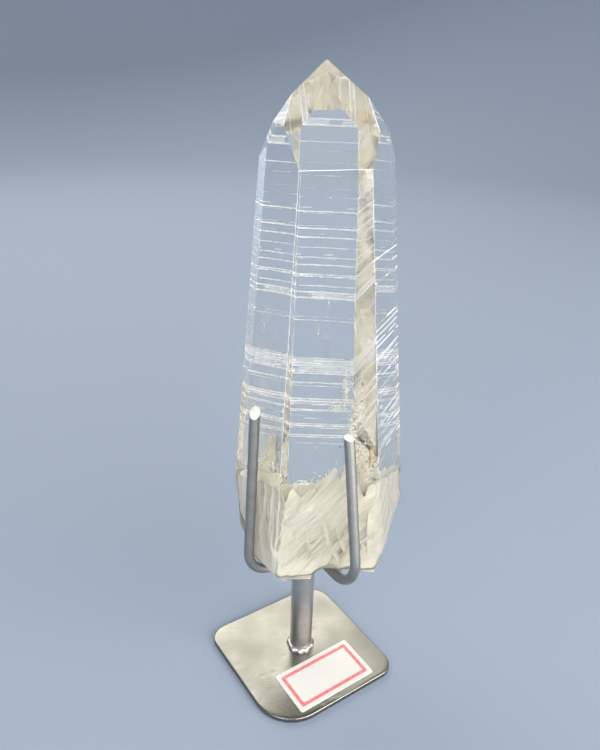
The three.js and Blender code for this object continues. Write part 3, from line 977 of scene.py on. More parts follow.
# Clear grooves in the front of its top: where each is, its half width and its depth
MILK_GROOVES = ((-12.6, 1.2, 6), (-7.6, 1.4, 1.5), (4, 1, 6), (11.6, 1.3, 6))
# The streaks of the mass: their slope in front, and where they turn upright on the left and on the right
STREAK_SLOPE = 50
STREAK_LEFT = (-13, -9.5)
STREAK_RIGHT = (14, 30)


def milk_top(x, y):
    """How high the milky mass reaches at a place of the crystal."""
    beside = x - 0.04 * (y + 21)
    groove = sum(depth * math.exp(-((beside - middle) / half) ** 2) for middle, half, depth in MILK_GROOVES)
    in_front = 1 - smooth_step(-15, -7, y)
    hump = 8 * smooth_step(-3, 4.5, beside) * (1 - smooth_step(7, 10, beside))
    dip = 1.6 * smooth_step(-12.5, -11, beside) * (1 - smooth_step(-5, -3, beside))
    ragged = 2.2 * noise.noise(Vector((x * 0.3, y * 0.08, 8.1))) + 1.1 * noise.noise(Vector((x * 1.1, y * 0.2, 3.1)))
    return MILK_TOP - MILK_DROP * y + ragged + (hump - dip - groove) * in_front


def streak_place(around, height):
    """Places across and along the slanted streaks, a place across the upright ones, and how upright it is there."""
    slope = math.radians(STREAK_SLOPE)
    swerve = 1.6 * noise.noise(Vector((around * 0.07, height * 0.07, 3.3)))
    across = height * math.cos(slope) - around * math.sin(slope) + swerve
    along = around * math.cos(slope) + height * math.sin(slope)
    wobble = 2.5 * noise.noise(Vector((height * 0.15, 4.4, 0)))
    upright = 1 - smooth_step(*STREAK_LEFT, around + wobble) + smooth_step(*STREAK_RIGHT, around + wobble)
    return across, along, around + swerve, min(1.0, upright)


def fold_depth(across, along):
    """How deep the folds of the mass are at one place: wide ones, narrow ones between them and fine ribs."""
    wide = abs(noise.noise(Vector((across * 0.26, along * 0.035, 7)))) ** 0.7
    narrow = abs(noise.noise(Vector((across * 0.8, along * 0.06, 2)))) ** 0.8
    ribs = noise.noise(Vector((across * 2.1, along * 0.1, 5)))
    return 3.2 * wide + 1.3 * narrow + 0.2 * ribs


def build_milk_core(material):
    """A fluted mass inside the foot. Its folds stand upright at the left and sweep up to the right in front."""
    columns = 380
    rows = 150
    centre = Vector(MILK_CENTRE)
    points = []
    streaks = []
    folds = []
    for row in range(rows + 1):
        lift = -90 + 180 * row / rows
        for column in range(columns):
            azimuth = 360 * column / columns - 180
            way = facing(azimuth, lift)
            reach = skin_distance(centre, way, MILK_ROOM)
            rise = way.z + MILK_DROP * way.y
            if rise > 0.02:
                reach = min(reach, (MILK_TOP + 8 - MILK_DROP * centre.y - centre.z) / rise)
            place = centre + way * reach
            spare = milk_top(place.x, place.y) - place.z
            place += Vector((0, 0, min(0.0, spare)))
            around = math.radians(azimuth) * 19
            across, along, beside, upright = streak_place(around, place.z)
            depth = (1 - upright) * fold_depth(across, along) + upright * fold_depth(beside, place.z + 40)
            fade = smooth_step(0, 14, 180 - abs(azimuth)) * smooth_step(0, 0.25, 1 - abs(way.z))
            fade *= (0.2 + 0.8 * smooth_step(3, 10, place.z)) * (1 - 0.75 * smooth_step(0, 3, -spare))
            folds.append(depth * fade)
            lump = 0.6 * noise.fractal(place * 0.16, 0.8, 2.2, 4)
            points.append(centre + (place - centre).normalized()
                          * max(0.4, (place - centre).length - 0.3 - (depth + lump) * fade))
            streaks.append((along * 0.05 + upright * 9, across * (1 - upright) + beside * upright, azimuth * 0.02))
    faces = []
    for row in range(rows):
        for column in range(columns):
            after = (column + 1) % columns
            base = row * columns
            faces.append((base + column, base + after, base + columns + after, base + columns + column))
    core = mesh_object("milky_core", points, faces)
    attribute = core.data.attributes.new("streak", "FLOAT_VECTOR", "POINT")
    attribute.data.foreach_set("vector", [value for vector in streaks for value in vector])
    core.data.attributes.new("fold", "FLOAT", "POINT").data.foreach_set("value", folds)
    core.data.transform(crystal_matrix())
    core.data.update()
    set_materials(core, [material])
    sharpen(core, 60)
    finish_piece(core, "quartz")


def leaf_tree():
    """Geometry nodes: puts one curved leaf on every point, turned and sized by the point's attributes."""
    name = "Leaves of a milky veil"
    if name in bpy.data.node_groups:
        return bpy.data.node_groups[name]
    tree = bpy.data.node_groups.new(name, "GeometryNodeTree")
    face = tree.interface
    face.new_socket("Geometry", in_out="INPUT", socket_type="NodeSocketGeometry")
    for label, kind, default in (("Steps Along", "NodeSocketInt", 20), ("Steps Across", "NodeSocketInt", 7),
                                 ("Curl", "NodeSocketFloat", 0.5), ("Bend", "NodeSocketFloat", 0.25),
                                 ("Ripple", "NodeSocketFloat", 0.8), ("Ripple Scale", "NodeSocketFloat", 0.3),
                                 ("Seed", "NodeSocketFloat", 1.0)):
        face.new_socket(label, in_out="INPUT", socket_type=kind).default_value = default
    face.new_socket("Material", in_out="INPUT", socket_type="NodeSocketMaterial")
    face.new_socket("Geometry", in_out="OUTPUT", socket_type="NodeSocketGeometry")
    given = tree.nodes.new("NodeGroupInput").outputs
    result = tree.nodes.new("NodeGroupOutput")
    grid = add_node(tree, "GeometryNodeMeshGrid", {
        "Size X": 1.0, "Size Y": 1.0, "Vertices X": given["Steps Along"], "Vertices Y": given["Steps Across"]})
    split = add_node(tree, "ShaderNodeSeparateXYZ", {0: add_node(tree, "GeometryNodeInputPosition").outputs[0]})
    along = math_node(tree, "ADD", split.outputs["X"], 0.5)
    left = math_node(tree, "SUBTRACT", 1.0, along)
    bulge = math_node(tree, "POWER", math_node(tree, "MULTIPLY", math_node(tree, "MULTIPLY", along, left), 4.0), 0.6)
    across = math_node(tree, "MULTIPLY", split.outputs["Y"], bulge)
    curled = math_node(tree, "MULTIPLY", math_node(tree, "MULTIPLY", across, across), given["Curl"])
    bent = math_node(tree, "MULTIPLY", math_node(tree, "MULTIPLY", along, along), given["Bend"])
    shape = add_node(tree, "ShaderNodeCombineXYZ", {
        "X": along, "Y": across, "Z": math_node(tree, "ADD", curled, bent)})
    leaf = add_node(tree, "GeometryNodeSetPosition", {
        "Geometry": grid.outputs["Mesh"], "Position": shape.outputs[0]})
    marked = add_node(tree, "GeometryNodeStoreNamedAttribute", {
        "Geometry": leaf.outputs["Geometry"], "Name": "leaf", "Value": shape.outputs[0]},
        data_type="FLOAT_VECTOR")
    turn = add_node(tree, "GeometryNodeInputNamedAttribute", {"Name": "turn"}, data_type="FLOAT_VECTOR")
    size = add_node(tree, "GeometryNodeInputNamedAttribute", {"Name": "size"}, data_type="FLOAT_VECTOR")
    copies = add_node(tree, "GeometryNodeInstanceOnPoints", {
        "Points": given["Geometry"], "Instance": marked.outputs["Geometry"],
        "Rotation": turn.outputs["Attribute"], "Scale": size.outputs["Attribute"]})
    real = add_node(tree, "GeometryNodeRealizeInstances", {"Geometry": copies.outputs["Instances"]})
    field = add_node(tree, "ShaderNodeTexNoise", {
        "Scale": given["Ripple Scale"], "Detail": 2.0, "W": given["Seed"]}, noise_dimensions="4D")
    centred = add_node(tree, "ShaderNodeVectorMath", {0: field.outputs["Color"], 1: (0.5, 0.5, 0.5)},
                       operation="SUBTRACT")
    offset = add_node(tree, "ShaderNodeVectorMath", {0: centred.outputs[0], "Scale": given["Ripple"]},
                      operation="SCALE")
    rippled = add_node(tree, "GeometryNodeSetPosition", {
        "Geometry": real.outputs["Geometry"], "Offset": offset.outputs[0]})
    dressed = add_node(tree, "GeometryNodeSetMaterial", {
        "Geometry": rippled.outputs["Geometry"], "Material": given["Material"]})
    tree.links.new(dressed.outputs["Geometry"], result.inputs["Geometry"])
    return tree


def leaf_pose(start, ahead, normal, length, width, depth):
    """One leaf: where it starts, where it points, which way it faces, and its size."""
    ahead = Vector(ahead).normalized()
    normal = Vector(normal)
    normal = (normal - ahead * normal.dot(ahead)).normalized()
    turn = Matrix((ahead, normal.cross(ahead), normal)).transposed().to_euler()
    return dict(start=Vector(start), turn=turn, size=(length, width, depth))


def leaf_piece(name, leaves, values, material, room):
    """Realizes leaves on their points, and trims what would stick out of the crystal."""
    piece = mesh_object(name, [leaf["start"] for leaf in leaves], [])
    for label in ("turn", "size"):
        attribute = piece.data.attributes.new(label, "FLOAT_VECTOR", "POINT")
        attribute.data.foreach_set("vector", [value for leaf in leaves for value in leaf[label]])
    apply_tree(piece, leaf_tree(), dict(values, Material=material))
    bm = bmesh.new()
    bm.from_mesh(piece.data)
    outside = [vert for vert in bm.verts if not inside_crystal(vert.co, room)]
    bmesh.ops.delete(bm, geom=outside, context="VERTS")
    bm.to_mesh(piece.data)
    bm.free()
    if not piece.data.polygons:
        raise RuntimeError(f"no leaf of {name} lies inside the crystal")
    piece.data.transform(crystal_matrix())
    piece.data.update()
    sharpen(piece, 60)
    finish_piece(piece, "quartz")
    return piece


def front_leaves(chance, count):
    """The sheaf that is seen from the front: upright at the left, and swept to the right across the middle."""
    leaves = []
    for index in range(count):
        share = (index + chance.uniform(0, 1)) / count
        x = -18 + 30 * share
        turn = smooth_step(-14.5, -13, x)
        rise = math.radians(94 - 49 * turn + chance.uniform(-3, 3))
        start = (x - 4 * turn, -21.2 + chance.uniform(0, 2.5), chance.uniform(3, 17 - 4 * turn))
        ahead = (math.cos(rise), chance.uniform(0, 0.12), math.sin(rise))
        normal = (chance.uniform(-0.35, 0.35), -1, chance.uniform(-0.2, 0.4))
        leaves.append(leaf_pose(start, ahead, normal, chance.uniform(7, 18), chance.uniform(0.3, 1.2),
                                chance.uniform(-1.2, 1.2)))
    return leaves


def ring_leaves(chance, count):
    """More leaves that sweep up all round the foot."""
    leaves = []
    for index in range(count):
        azimuth = 360 * (index + chance.uniform(-0.4, 0.4)) / count
        out = facing(azimuth)
        side = Vector((0, 0, 1)).cross(out)
        height = chance.uniform(3, 13)
        reach = skin_distance(Vector((0, 0, height)), out, 1.2) - chance.uniform(0, 4)
        start = out * reach + Vector((0, 0, height))
        ahead = Vector((0, 0, 1)) - side * chance.uniform(0, 0.5) - out * chance.uniform(0, 0.12)
        normal = out + side * chance.uniform(-0.35, 0.35) + Vector((0, 0, chance.uniform(-0.2, 0.3)))
        room = milk_top(start.x, start.y) + 3 - height
        leaves.append(leaf_pose(start, ahead, normal, min(room, chance.uniform(8, 18)), chance.uniform(0.5, 1.8),
                                chance.uniform(-1.4, 1.4)))
    return leaves


def wisp_leaves(chance, count):
    """Small, thin wisps at the upper rim of the milky mass."""
    leaves = []
    for _index in range(count):
        azimuth = chance.uniform(0, 360)
        out = facing(azimuth)
        reach = skin_distance(Vector((0, 0, 28)), out, 1.2) * chance.uniform(0.25, 1)
        start = out * reach
        start.z = milk_top(start.x, start.y) - 3 + chance.uniform(-3, 3) + 4 * chance.random() ** 3
        ahead = Vector((chance.uniform(-0.4, 0.8), chance.uniform(-0.5, 0.5), chance.uniform(0.3, 1)))
        normal = (chance.uniform(-1, 1), chance.uniform(-1, 0), chance.uniform(-1, 1))
        leaves.append(leaf_pose(start, ahead, normal, chance.uniform(0.6, 2.2), chance.uniform(0.25, 0.8),
                                chance.uniform(-1, 1)))
    return leaves


def crescent_leaves():
    """The bright, curved little cracks at the left end of the rim."""
    leaves = []
    for rise, length, depth in ((0.0, 4.4, -1.4), (0.9, 3.4, -1.2), (-1.1, 2.8, 1.1), (-1.6, 2.0, 0.8)):
        start = (-9.4 + 0.3 * rise, -20.2, 36.8 + rise)
        leaves.append(leaf_pose(start, (1, 0, 0.2), (0, -0.5, 1), length, 1.2, depth))
    return leaves


def build_veils(settings):
    material = milk_material(settings)
    chance = random.Random(settings.seed)
    build_milk_core(material)
    values = {"Steps Along": 26, "Steps Across": 7, "Curl": 1.2, "Bend": 1.0, "Ripple": 0.8, "Ripple Scale": 0.12,
              "Seed": float(settings.seed)}
    leaf_piece("milky_leaves_front", front_leaves(chance, settings.leaves), values, material, 0.5)
    leaf_piece("milky_leaves_around", ring_leaves(chance, 2 * settings.leaves), values, material, 0.5)
    wisps = dict(values, **{"Steps Along": 10, "Steps Across": 4, "Ripple": 1.0, "Ripple Scale": 0.5})
    leaf_piece("milky_wisps", wisp_leaves(chance, 4 * settings.leaves), wisps, material, 0.5)
    leaf_piece("white_cracks", crescent_leaves(), wisps, bpy.data.materials["frosted_quartz"], 0.5)


class QUARTZ_OT_veils(bpy.types.Operator):
    """Build the milky mass and the leaves that sweep up through the foot of the crystal"""
    bl_idname = "quartz.build_veils"
    bl_label = "Milky veils"

    def execute(self, context):
        build_veils(context.scene.quartz_veils)
        return {"FINISHED"}


def set_vector_range(node, low, high):
    """Sets the lowest and highest vector of a Random Value node."""
    low_socket, high_socket = [item for item in node.inputs if item.enabled and item.name in ("Min", "Max")]
    low_socket.default_value = low
    high_socket.default_value = high


def grain_tree():
    """Geometry nodes: puts a rough grain of random size and turn on every point."""
    name = "Grains on points"
    if name in bpy.data.node_groups:
        return bpy.data.node_groups[name]
    tree = bpy.data.node_groups.new(name, "GeometryNodeTree")
    face = tree.interface
    face.new_socket("Geometry", in_out="INPUT", socket_type="NodeSocketGeometry")
    for label, kind, default in (("Smallest", "NodeSocketFloat", 0.1), ("Largest", "NodeSocketFloat", 0.3),
                                 ("Seed", "NodeSocketInt", 1)):
        face.new_socket(label, in_out="INPUT", socket_type=kind).default_value = default
    face.new_socket("Material", in_out="INPUT", socket_type="NodeSocketMaterial")
    face.new_socket("Geometry", in_out="OUTPUT", socket_type="NodeSocketGeometry")
    given = tree.nodes.new("NodeGroupInput").outputs
    result = tree.nodes.new("NodeGroupOutput")
    points = add_node(tree, "GeometryNodeMeshToPoints", {"Mesh": given["Geometry"]})
    grain = add_node(tree, "GeometryNodeMeshIcoSphere", {"Radius": 0.5, "Subdivisions": 1})
    turn = add_node(tree, "FunctionNodeRandomValue", {"Seed": given["Seed"]}, data_type="FLOAT_VECTOR")
    set_vector_range(turn, (0, 0, 0), (6.28, 6.28, 6.28))
    size = add_node(tree, "FunctionNodeRandomValue", {"Seed": given["Seed"]}, data_type="FLOAT")
    low_socket, high_socket = [item for item in size.inputs if item.enabled and item.name in ("Min", "Max")]
    tree.links.new(given["Smallest"], low_socket)
    tree.links.new(given["Largest"], high_socket)
    amount = [item for item in size.outputs if item.enabled][0]
    stretch = add_node(tree, "FunctionNodeRandomValue", {"Seed": given["Seed"]}, data_type="FLOAT_VECTOR")
    set_vector_range(stretch, (0.5, 0.7, 0.4), (1.3, 1.4, 1.0))
    scale = add_node(tree, "ShaderNodeVectorMath", {0: stretch.outputs["Value"], "Scale": amount},
                     operation="SCALE")
    copies = add_node(tree, "GeometryNodeInstanceOnPoints", {
        "Points": points.outputs["Points"], "Instance": grain.outputs["Mesh"],
        "Rotation": turn.outputs["Value"], "Scale": scale.outputs[0]})
    real = add_node(tree, "GeometryNodeRealizeInstances", {"Geometry": copies.outputs["Instances"]})
    dressed = add_node(tree, "GeometryNodeSetMaterial", {
        "Geometry": real.outputs["Geometry"], "Material": given["Material"]})
    tree.links.new(dressed.outputs["Geometry"], result.inputs["Geometry"])
    return tree


# Clouds of grains: middle, half size in each direction, how many, smallest and largest grain
WHITE_CLOUDS = (
    ((0.1, -13.1, 91.1), (0.2, 0.3, 1.1), 8, 0.1, 0.35),
    ((-2.8, -13.6, 82.7), (0.3, 0.3, 1.3), 12, 0.1, 0.35),
    ((-14.9, -3.2, 80.8), (0.2, 0.3, 1.2), 8, 0.1, 0.35),
    ((5.4, -14, 65), (0.9, 2, 6), 170, 0.1, 0.35),
    ((3, -15, 59.6), (2, 1.5, 0.7), 120, 0.1, 0.4),
    ((7.6, -15, 52), (1.2, 2, 7), 260, 0.1, 0.3),
    ((10.8, -16.5, 38), (2.2, 2.5, 9), 1500, 0.1, 0.35),
    ((13, -15, 24), (3, 4, 9), 1200, 0.12, 0.4),
    ((-15, -9, 33), (2.5, 6, 5), 800, 0.1, 0.35),
    ((-2, -4, 9), (15, 13, 6), 1600, 0.12, 0.6),
)
DARK_CLOUDS = (
    ((9.9, -16, 68), (0.4, 1.5, 9), 22, 0.12, 0.3),
    ((3.9, -18.4, 48), (0.06, 0.06, 0.06), 4, 0.4, 0.6),
    ((11, -15, 42), (3, 2.5, 9), 26, 0.1, 0.3),
)
STAIN_CLOUDS = (
    ((13.6, -17.6, 44.6), (0.7, 1, 3), 190, 0.12, 0.35),
    ((13.6, -18.5, 14), (1.4, 1.2, 3.4), 300, 0.15, 0.4),
    ((-3, -17, 46.8), (0.25, 0.3, 1.2), 34, 0.12, 0.3),
    ((-9, 9, 14), (5, 4, 5), 220, 0.15, 0.45),
)


def cloud_points(clouds, chance):
    """Points strewn through the clouds, thicker towards the middle of each and kept inside the crystal."""
    points = []
    for middle, half, count, _low, _high in clouds:
        for _index in range(count):
            offset = Vector([chance.gauss(0, 0.5) for _axis in range(3)])
            point = Vector(middle) + Vector([a * b for a, b in zip(offset, half)])
            if inside_crystal(point, 0.4):
                points.append(point)
    return points


def build_grains(settings):
    chance = random.Random(settings.seed + 2)
    for name, clouds, material in (("white_grains", WHITE_CLOUDS, bpy.data.materials["milky_veil"]),
                                   ("dark_specks", DARK_CLOUDS, speck_material()),
                                   ("iron_stains", STAIN_CLOUDS, stain_material(settings))):
        low = min(cloud[3] for cloud in clouds)
        high = max(cloud[4] for cloud in clouds)
        piece = mesh_object(name, cloud_points(clouds, chance), [])
        apply_tree(piece, grain_tree(), {
            "Smallest": low, "Largest": high, "Seed": settings.seed, "Material": material})
        piece.data.transform(crystal_matrix())
        piece.data.update()
        finish_piece(piece, "quartz")


class QUARTZ_OT_grains(bpy.types.Operator):
    """Build the white grains, dark specks and iron stains in the crystal"""
    bl_idname = "quartz.build_grains"
    bl_label = "Grains and stains"

    def execute(self, context):
        build_grains(context.scene.quartz_veils)
        return {"FINISHED"}


# Stand

def arm_path(arm, level):
    """One arm's path in mm, outwards from the crossing: a run, a bend and an upright."""
    out = facing(arm["azimuth"])
    lean = math.radians(arm["lean"])
    climb = math.radians(arm["climb"])
    slope = math.tan(lean)
    rise = math.tan(climb)
    corner_reach = (arm["tip_reach"] + (arm["tip_height"] - level) * slope) / (1 + rise * slope)
    corner_height = level + corner_reach * rise
    tangent = arm["bend"] / math.tan(math.radians(90 - arm["lean"] + arm["climb"]) / 2)
    start = (corner_reach - tangent * math.cos(climb), corner_height - tangent * math.sin(climb))
    end = (corner_reach - tangent * math.sin(lean), corner_height + tangent * math.cos(lean))
    centre = (start[0] - arm["bend"] * math.sin(climb), start[1] + arm["bend"] * math.cos(climb))
    first = math.atan2(start[1] - centre[1], start[0] - centre[0])
    last = math.atan2(end[1] - centre[1], end[0] - centre[0])
    steps = 22
    path = []
    for step in range(steps + 1):
        angle = first + (last - first) * step / steps
        path.append((centre[0] + arm["bend"] * math.cos(angle), centre[1] + arm["bend"] * math.sin(angle)))
    upright = 16
    for step in range(1, upright + 1):
        share = step / upright
        path.append((end[0] + (arm["tip_reach"] - end[0]) * share, end[1] + (arm["tip_height"] - end[1]) * share))
    return [out * reach + Vector((0, 0, height)) for reach, height in path]


def wire_tree():
    """Geometry nodes: sweeps a round wire along a path."""
    tree = bpy.data.node_groups.new("Wire along a path", "GeometryNodeTree")
    face = tree.interface
    face.new_socket("Geometry", in_out="INPUT", socket_type="NodeSocketGeometry")
    for label, kind, default in (("Diameter", "NodeSocketFloat", 0.0032), ("Sides", "NodeSocketInt", 32),
                                 ("Wander", "NodeSocketFloat", 0.0), ("Seed", "NodeSocketFloat", 1.0)):
        face.new_socket(label, in_out="INPUT", socket_type=kind).default_value = default
    face.new_socket("Material", in_out="INPUT", socket_type="NodeSocketMaterial")
    face.new_socket("Geometry", in_out="OUTPUT", socket_type="NodeSocketGeometry")
    given = tree.nodes.new("NodeGroupInput")
    result = tree.nodes.new("NodeGroupOutput")
    curve = add_node(tree, "GeometryNodeMeshToCurve", {"Mesh": given.outputs["Geometry"]})
    field = add_node(tree, "ShaderNodeTexNoise", {"W": given.outputs["Seed"], "Scale": 60.0, "Detail": 1.0},
                     noise_dimensions="4D")
    centred = add_node(tree, "ShaderNodeVectorMath", {0: field.outputs["Color"], 1: (0.5, 0.5, 0.5)},
                       operation="SUBTRACT")
    scaled = add_node(tree, "ShaderNodeVectorMath", {0: centred.outputs[0], "Scale": given.outputs["Wander"]},
                      operation="SCALE")
    moved = add_node(tree, "GeometryNodeSetPosition", {
        "Geometry": curve.outputs["Curve"], "Offset": scaled.outputs[0]})
    radius = math_node(tree, "MULTIPLY", given.outputs["Diameter"], 0.5)
    ring = add_node(tree, "GeometryNodeCurvePrimitiveCircle", {
        "Resolution": given.outputs["Sides"], "Radius": radius})
    swept = add_node(tree, "GeometryNodeCurveToMesh", {
        "Curve": moved.outputs["Geometry"], "Profile Curve": ring.outputs["Curve"], "Fill Caps": True})
    real = add_node(tree, "GeometryNodeRealizeInstances", {"Geometry": swept.outputs["Mesh"]})
    dressed = add_node(tree, "GeometryNodeSetMaterial", {
        "Geometry": real.outputs["Geometry"], "Material": given.outputs["Material"]})
    tree.links.new(dressed.outputs["Geometry"], result.inputs["Geometry"])
    return tree


def apply_tree(piece, tree, values):
    """Runs a geometry node tree on a piece with named input values, and leaves a plain mesh."""
    modifier = piece.modifiers.new(tree.name, "NODES")
    modifier.node_group = tree
    identifiers = {item.name: item.identifier for item in tree.interface.items_tree
                   if item.item_type == "SOCKET" and item.in_out == "INPUT"}
    for name, value in values.items():
        modifier[identifiers[name]] = value
    return baked(piece)


def build_wire(name, arms, level, settings, materials, seed):
    first, second = arms
    path = list(reversed(arm_path(first, level))) + arm_path(second, level)
    shift = Vector((ROD_CENTRE.x, ROD_CENTRE.y, 0))
    points = [point * MM + shift for point in path]
    mesh = bpy.data.meshes.new(name)
    mesh.from_pydata([tuple(point) for point in points], [(i, i + 1) for i in range(len(points) - 1)], [])
    wire = bpy.data.objects.new(name, mesh)
    bpy.context.scene.collection.objects.link(wire)
    apply_tree(wire, wire_tree(), {
        "Diameter": settings.wire_diameter, "Sides": 36, "Wander": 0.00012, "Seed": float(seed),
        "Material": materials[0]})
    set_materials(wire, materials)
    cutters = []
    for arm in arms:
        tip = facing(arm["azimuth"]) * arm["tip_reach"]
        tip.z = arm["tip_height"] - WIRE_DIAMETER / 2
        cutter = block_beyond("wire_cut", tip, facing(arm["azimuth"] + arm["cut_turn"], 90 - arm["cut"]), 1,
                              size=4 * WIRE_DIAMETER)
        set_materials(cutter, materials)
        cutter.data.transform(Matrix.Translation(shift) @ Matrix.Scale(MM, 4))
        cutters.append(cutter)
    cut(wire, cutters)
    bevel = wire.modifiers.new("rounded_cut", "BEVEL")
    bevel.width = 0.00022
    bevel.segments = 3
    bevel.limit_method = "ANGLE"
    bevel.angle_limit = math.radians(38)
    baked(wire)
    sharpen(wire, 40)
    finish_piece(wire, "wire_steel", name)
    return wire


def build_wires(settings):
    materials = [steel_material("wire_steel", settings.wire_steel, 0.46, (0, math.radians(90), 0), 220.0),
                 cut_steel((0.8, 0.8, 0.78))]
    build_wire("cradle_wire_lower", LOWER_WIRE_ARMS, LOWER_WIRE_LEVEL, settings, materials, 3)
    build_wire("cradle_wire_upper", UPPER_WIRE_ARMS, UPPER_WIRE_LEVEL, settings, materials, 8)


class QUARTZ_OT_wires(bpy.types.Operator):
    """Build the two bent wires of the cradle"""
    bl_idname = "quartz.build_wires"
    bl_label = "Cradle wires"

    def execute(self, context):
        build_wires(context.scene.quartz_stand)
        return {"FINISHED"}


def lathe(name, profile, sides, wobble=None):
    """A turned shape from (radius, height) pairs that start and end on the axis."""
    points = [(0, 0, profile[0][1])]
    for radius, height in profile[1:-1]:
        for side in range(sides):
            angle = math.tau * side / sides
            reach = radius + (wobble(angle, radius, height) if wobble else 0)
            points.append((reach * math.cos(angle), reach * math.sin(angle), height))
    points.append((0, 0, profile[-1][1]))
    faces = []
    rings = len(profile) - 2
    for side in range(sides):
        after = (side + 1) % sides
        faces.append((0, 1 + after, 1 + side))
        for ring in range(rings - 1):
            base = 1 + ring * sides
            faces.append((base + side, base + after, base + sides + after, base + sides + side))
        base = 1 + (rings - 1) * sides
        faces.append((base + side, base + after, len(points) - 1))
    return mesh_object(name, points, faces)


def build_rod(settings):
    radius = settings.rod_diameter / 2
    reach = settings.weld_reach
    rise = settings.weld_height
    height = ROD_HIGH.z - ROD_LOW.z
    profile = [(0, 0), (radius, 0)]
    weld_rings = 14
    for ring in range(weld_rings + 1):
        angle = math.pi / 2 * ring / weld_rings
        profile.append((radius + reach * math.cos(angle), rise * math.sin(angle)))
    shaft_rings = 24
    for ring in range(1, shaft_rings):
        profile.append((radius, rise + (height - 0.0005 - rise) * ring / shaft_rings))
    profile += [(radius - 0.0001, height - 0.0003), (radius - 0.0003, height - 0.0001), (radius - 0.0006, height)]
    profile.append((0, height))

    def wobble(angle, ring_radius, ring_height):
        if ring_height > rise or ring_radius <= radius and ring_height == 0:
            return 0.00004 * noise.noise(Vector((math.cos(angle), math.sin(angle), ring_height * 90)))
        lumps = noise.noise(Vector((math.cos(angle) * 2.6, math.sin(angle) * 2.6, 4.1)))
        return (ring_radius - radius) * (0.55 * lumps - 0.12)

    rod = lathe("rod_upright", profile, 72, wobble)
    rod.data.transform(Matrix.Translation(Vector((ROD_CENTRE.x, ROD_CENTRE.y, ROD_LOW.z))))
    set_materials(rod, [steel_material("rod_steel", settings.rod_steel, 0.38, (0, math.radians(90), 0), 160.0)])
    sharpen(rod, 50)
    finish_piece(rod, "plate_steel", "rod")
    return rod


class QUARTZ_OT_rod(bpy.types.Operator):
    """Build the upright rod with the weld round its foot"""
    bl_idname = "quartz.build_rod"
    bl_label = "Rod"

    def execute(self, context):
        build_rod(context.scene.quartz_stand)
        return {"FINISHED"}


def rounded_outline(length, width, radii, arc_steps):
    """Points of a rectangle with a radius of its own at each corner, counter-clockwise from -X -Y."""
    corners = ((-1, -1, 180), (1, -1, 270), (1, 1, 0), (-1, 1, 90))
    outline = []
    for (sx, sy, start), radius in zip(corners, radii):
        for step in range(arc_steps + 1):
            angle = math.radians(start + 90 * step / arc_steps)
            outline.append(Vector((sx * (length / 2 - radius) + radius * math.cos(angle),
                                   sy * (width / 2 - radius) + radius * math.sin(angle), 0)))
    return outline


def spaced(outline, count):
    """The same closed outline with evenly spaced points."""
    lengths = [0.0]
    closed = outline + outline[:1]
    for a, b in zip(closed, closed[1:]):
        lengths.append(lengths[-1] + (b - a).length)
    result = []
    index = 0
    for number in range(count):
        target = lengths[-1] * number / count
        while lengths[index + 1] < target:
            index += 1
        share = (target - lengths[index]) / (lengths[index + 1] - lengths[index])
        result.append(closed[index].lerp(closed[index + 1], share))
    return result


def slab(name, rings, bands=None):
    """A closed slab from rings of points: the first and the last are closed by a point at their middle."""
    count = len(rings[0])
    points = [point for ring in rings for point in ring]
    first = sum(rings[0], Vector()) / count
    last = sum(rings[-1], Vector()) / count
    points += [first, last]
    faces = []
    finishes = []
    for ring in range(len(rings) - 1):
        for index in range(count):
            after = (index + 1) % count
            a = ring * count
            faces.append((a + index, a + after, a + count + after, a + count + index))
            finishes.append(bands[ring] if bands else 0)
    top = (len(rings) - 1) * count
    for index in range(count):
        after = (index + 1) % count
        faces.append((len(points) - 2, after, index))
        faces.append((len(points) - 1, top + index, top + after))
        finishes.extend((0, 0))
    return mesh_object(name, points, faces, finishes)


def plate_top(x, y, dents):
    """Unevenness of the plate's upper side in metres: soft waves and a few dents."""
    wave = 0.00005 * noise.noise(Vector((x * 60, y * 60, 0.3)))
    for dent_x, dent_y, radius, depth in dents:
        away = math.hypot(x - dent_x, y - dent_y) / radius
        wave -= depth * math.exp(-away * away * 3)
    return wave


def build_plate(settings):
    side = settings.plate_side
    thickness = settings.plate_thickness
    bevel = settings.plate_bevel
    chance = random.Random(12)
    dents = [(chance.uniform(-0.5, 0.5) * side, chance.uniform(-0.5, 0.5) * side, chance.uniform(0.7, 1.6) * MM,
              chance.uniform(0.03, 0.09) * MM) for _count in range(26)]
    outline = spaced(rounded_outline(side, side, [radius * MM for radius in PLATE_CORNER_RADII], 24), 240)
    inner = 30

    def ring(inset, height, top):
        scale = 1 - inset / (side / 2)
        made = []
        for point in outline:
            x, y = point.x * scale, point.y * scale
            lift = plate_top(x, y, dents) if top else 0.0
            edge = 0.00005 * noise.noise(Vector((x * 170, y * 170, height * 900)))
            made.append(Vector((x * (1 + edge / side), y * (1 + edge / side), height + lift)))
        return made

    rings = []
    for step in range(6, 0, -1):
        rings.append(ring(side / 2 * step / 6.5, 0, False))
    for step in range(5):
        angle = math.pi / 2 * step / 4
        rings.append(ring(bevel * (1 - math.sin(angle)), bevel * (1 - math.cos(angle)), False))
    for step in range(5):
        angle = math.pi / 2 * step / 4
        rings.append(ring(bevel * (1 - math.cos(angle)), thickness - bevel * (1 - math.sin(angle)), step == 4))
    for step in range(1, inner):
        rings.append(ring(bevel + (side / 2 - bevel) * step / inner, thickness, True))
    plate = slab("plate", rings)
    set_materials(plate, [steel_material("plate_steel", settings.steel, 0.27, (0, 0, math.radians(24)), 55.0)])
    sharpen(plate, 40)
    finish_piece(plate, "plate_steel", "base_plate")
    return plate


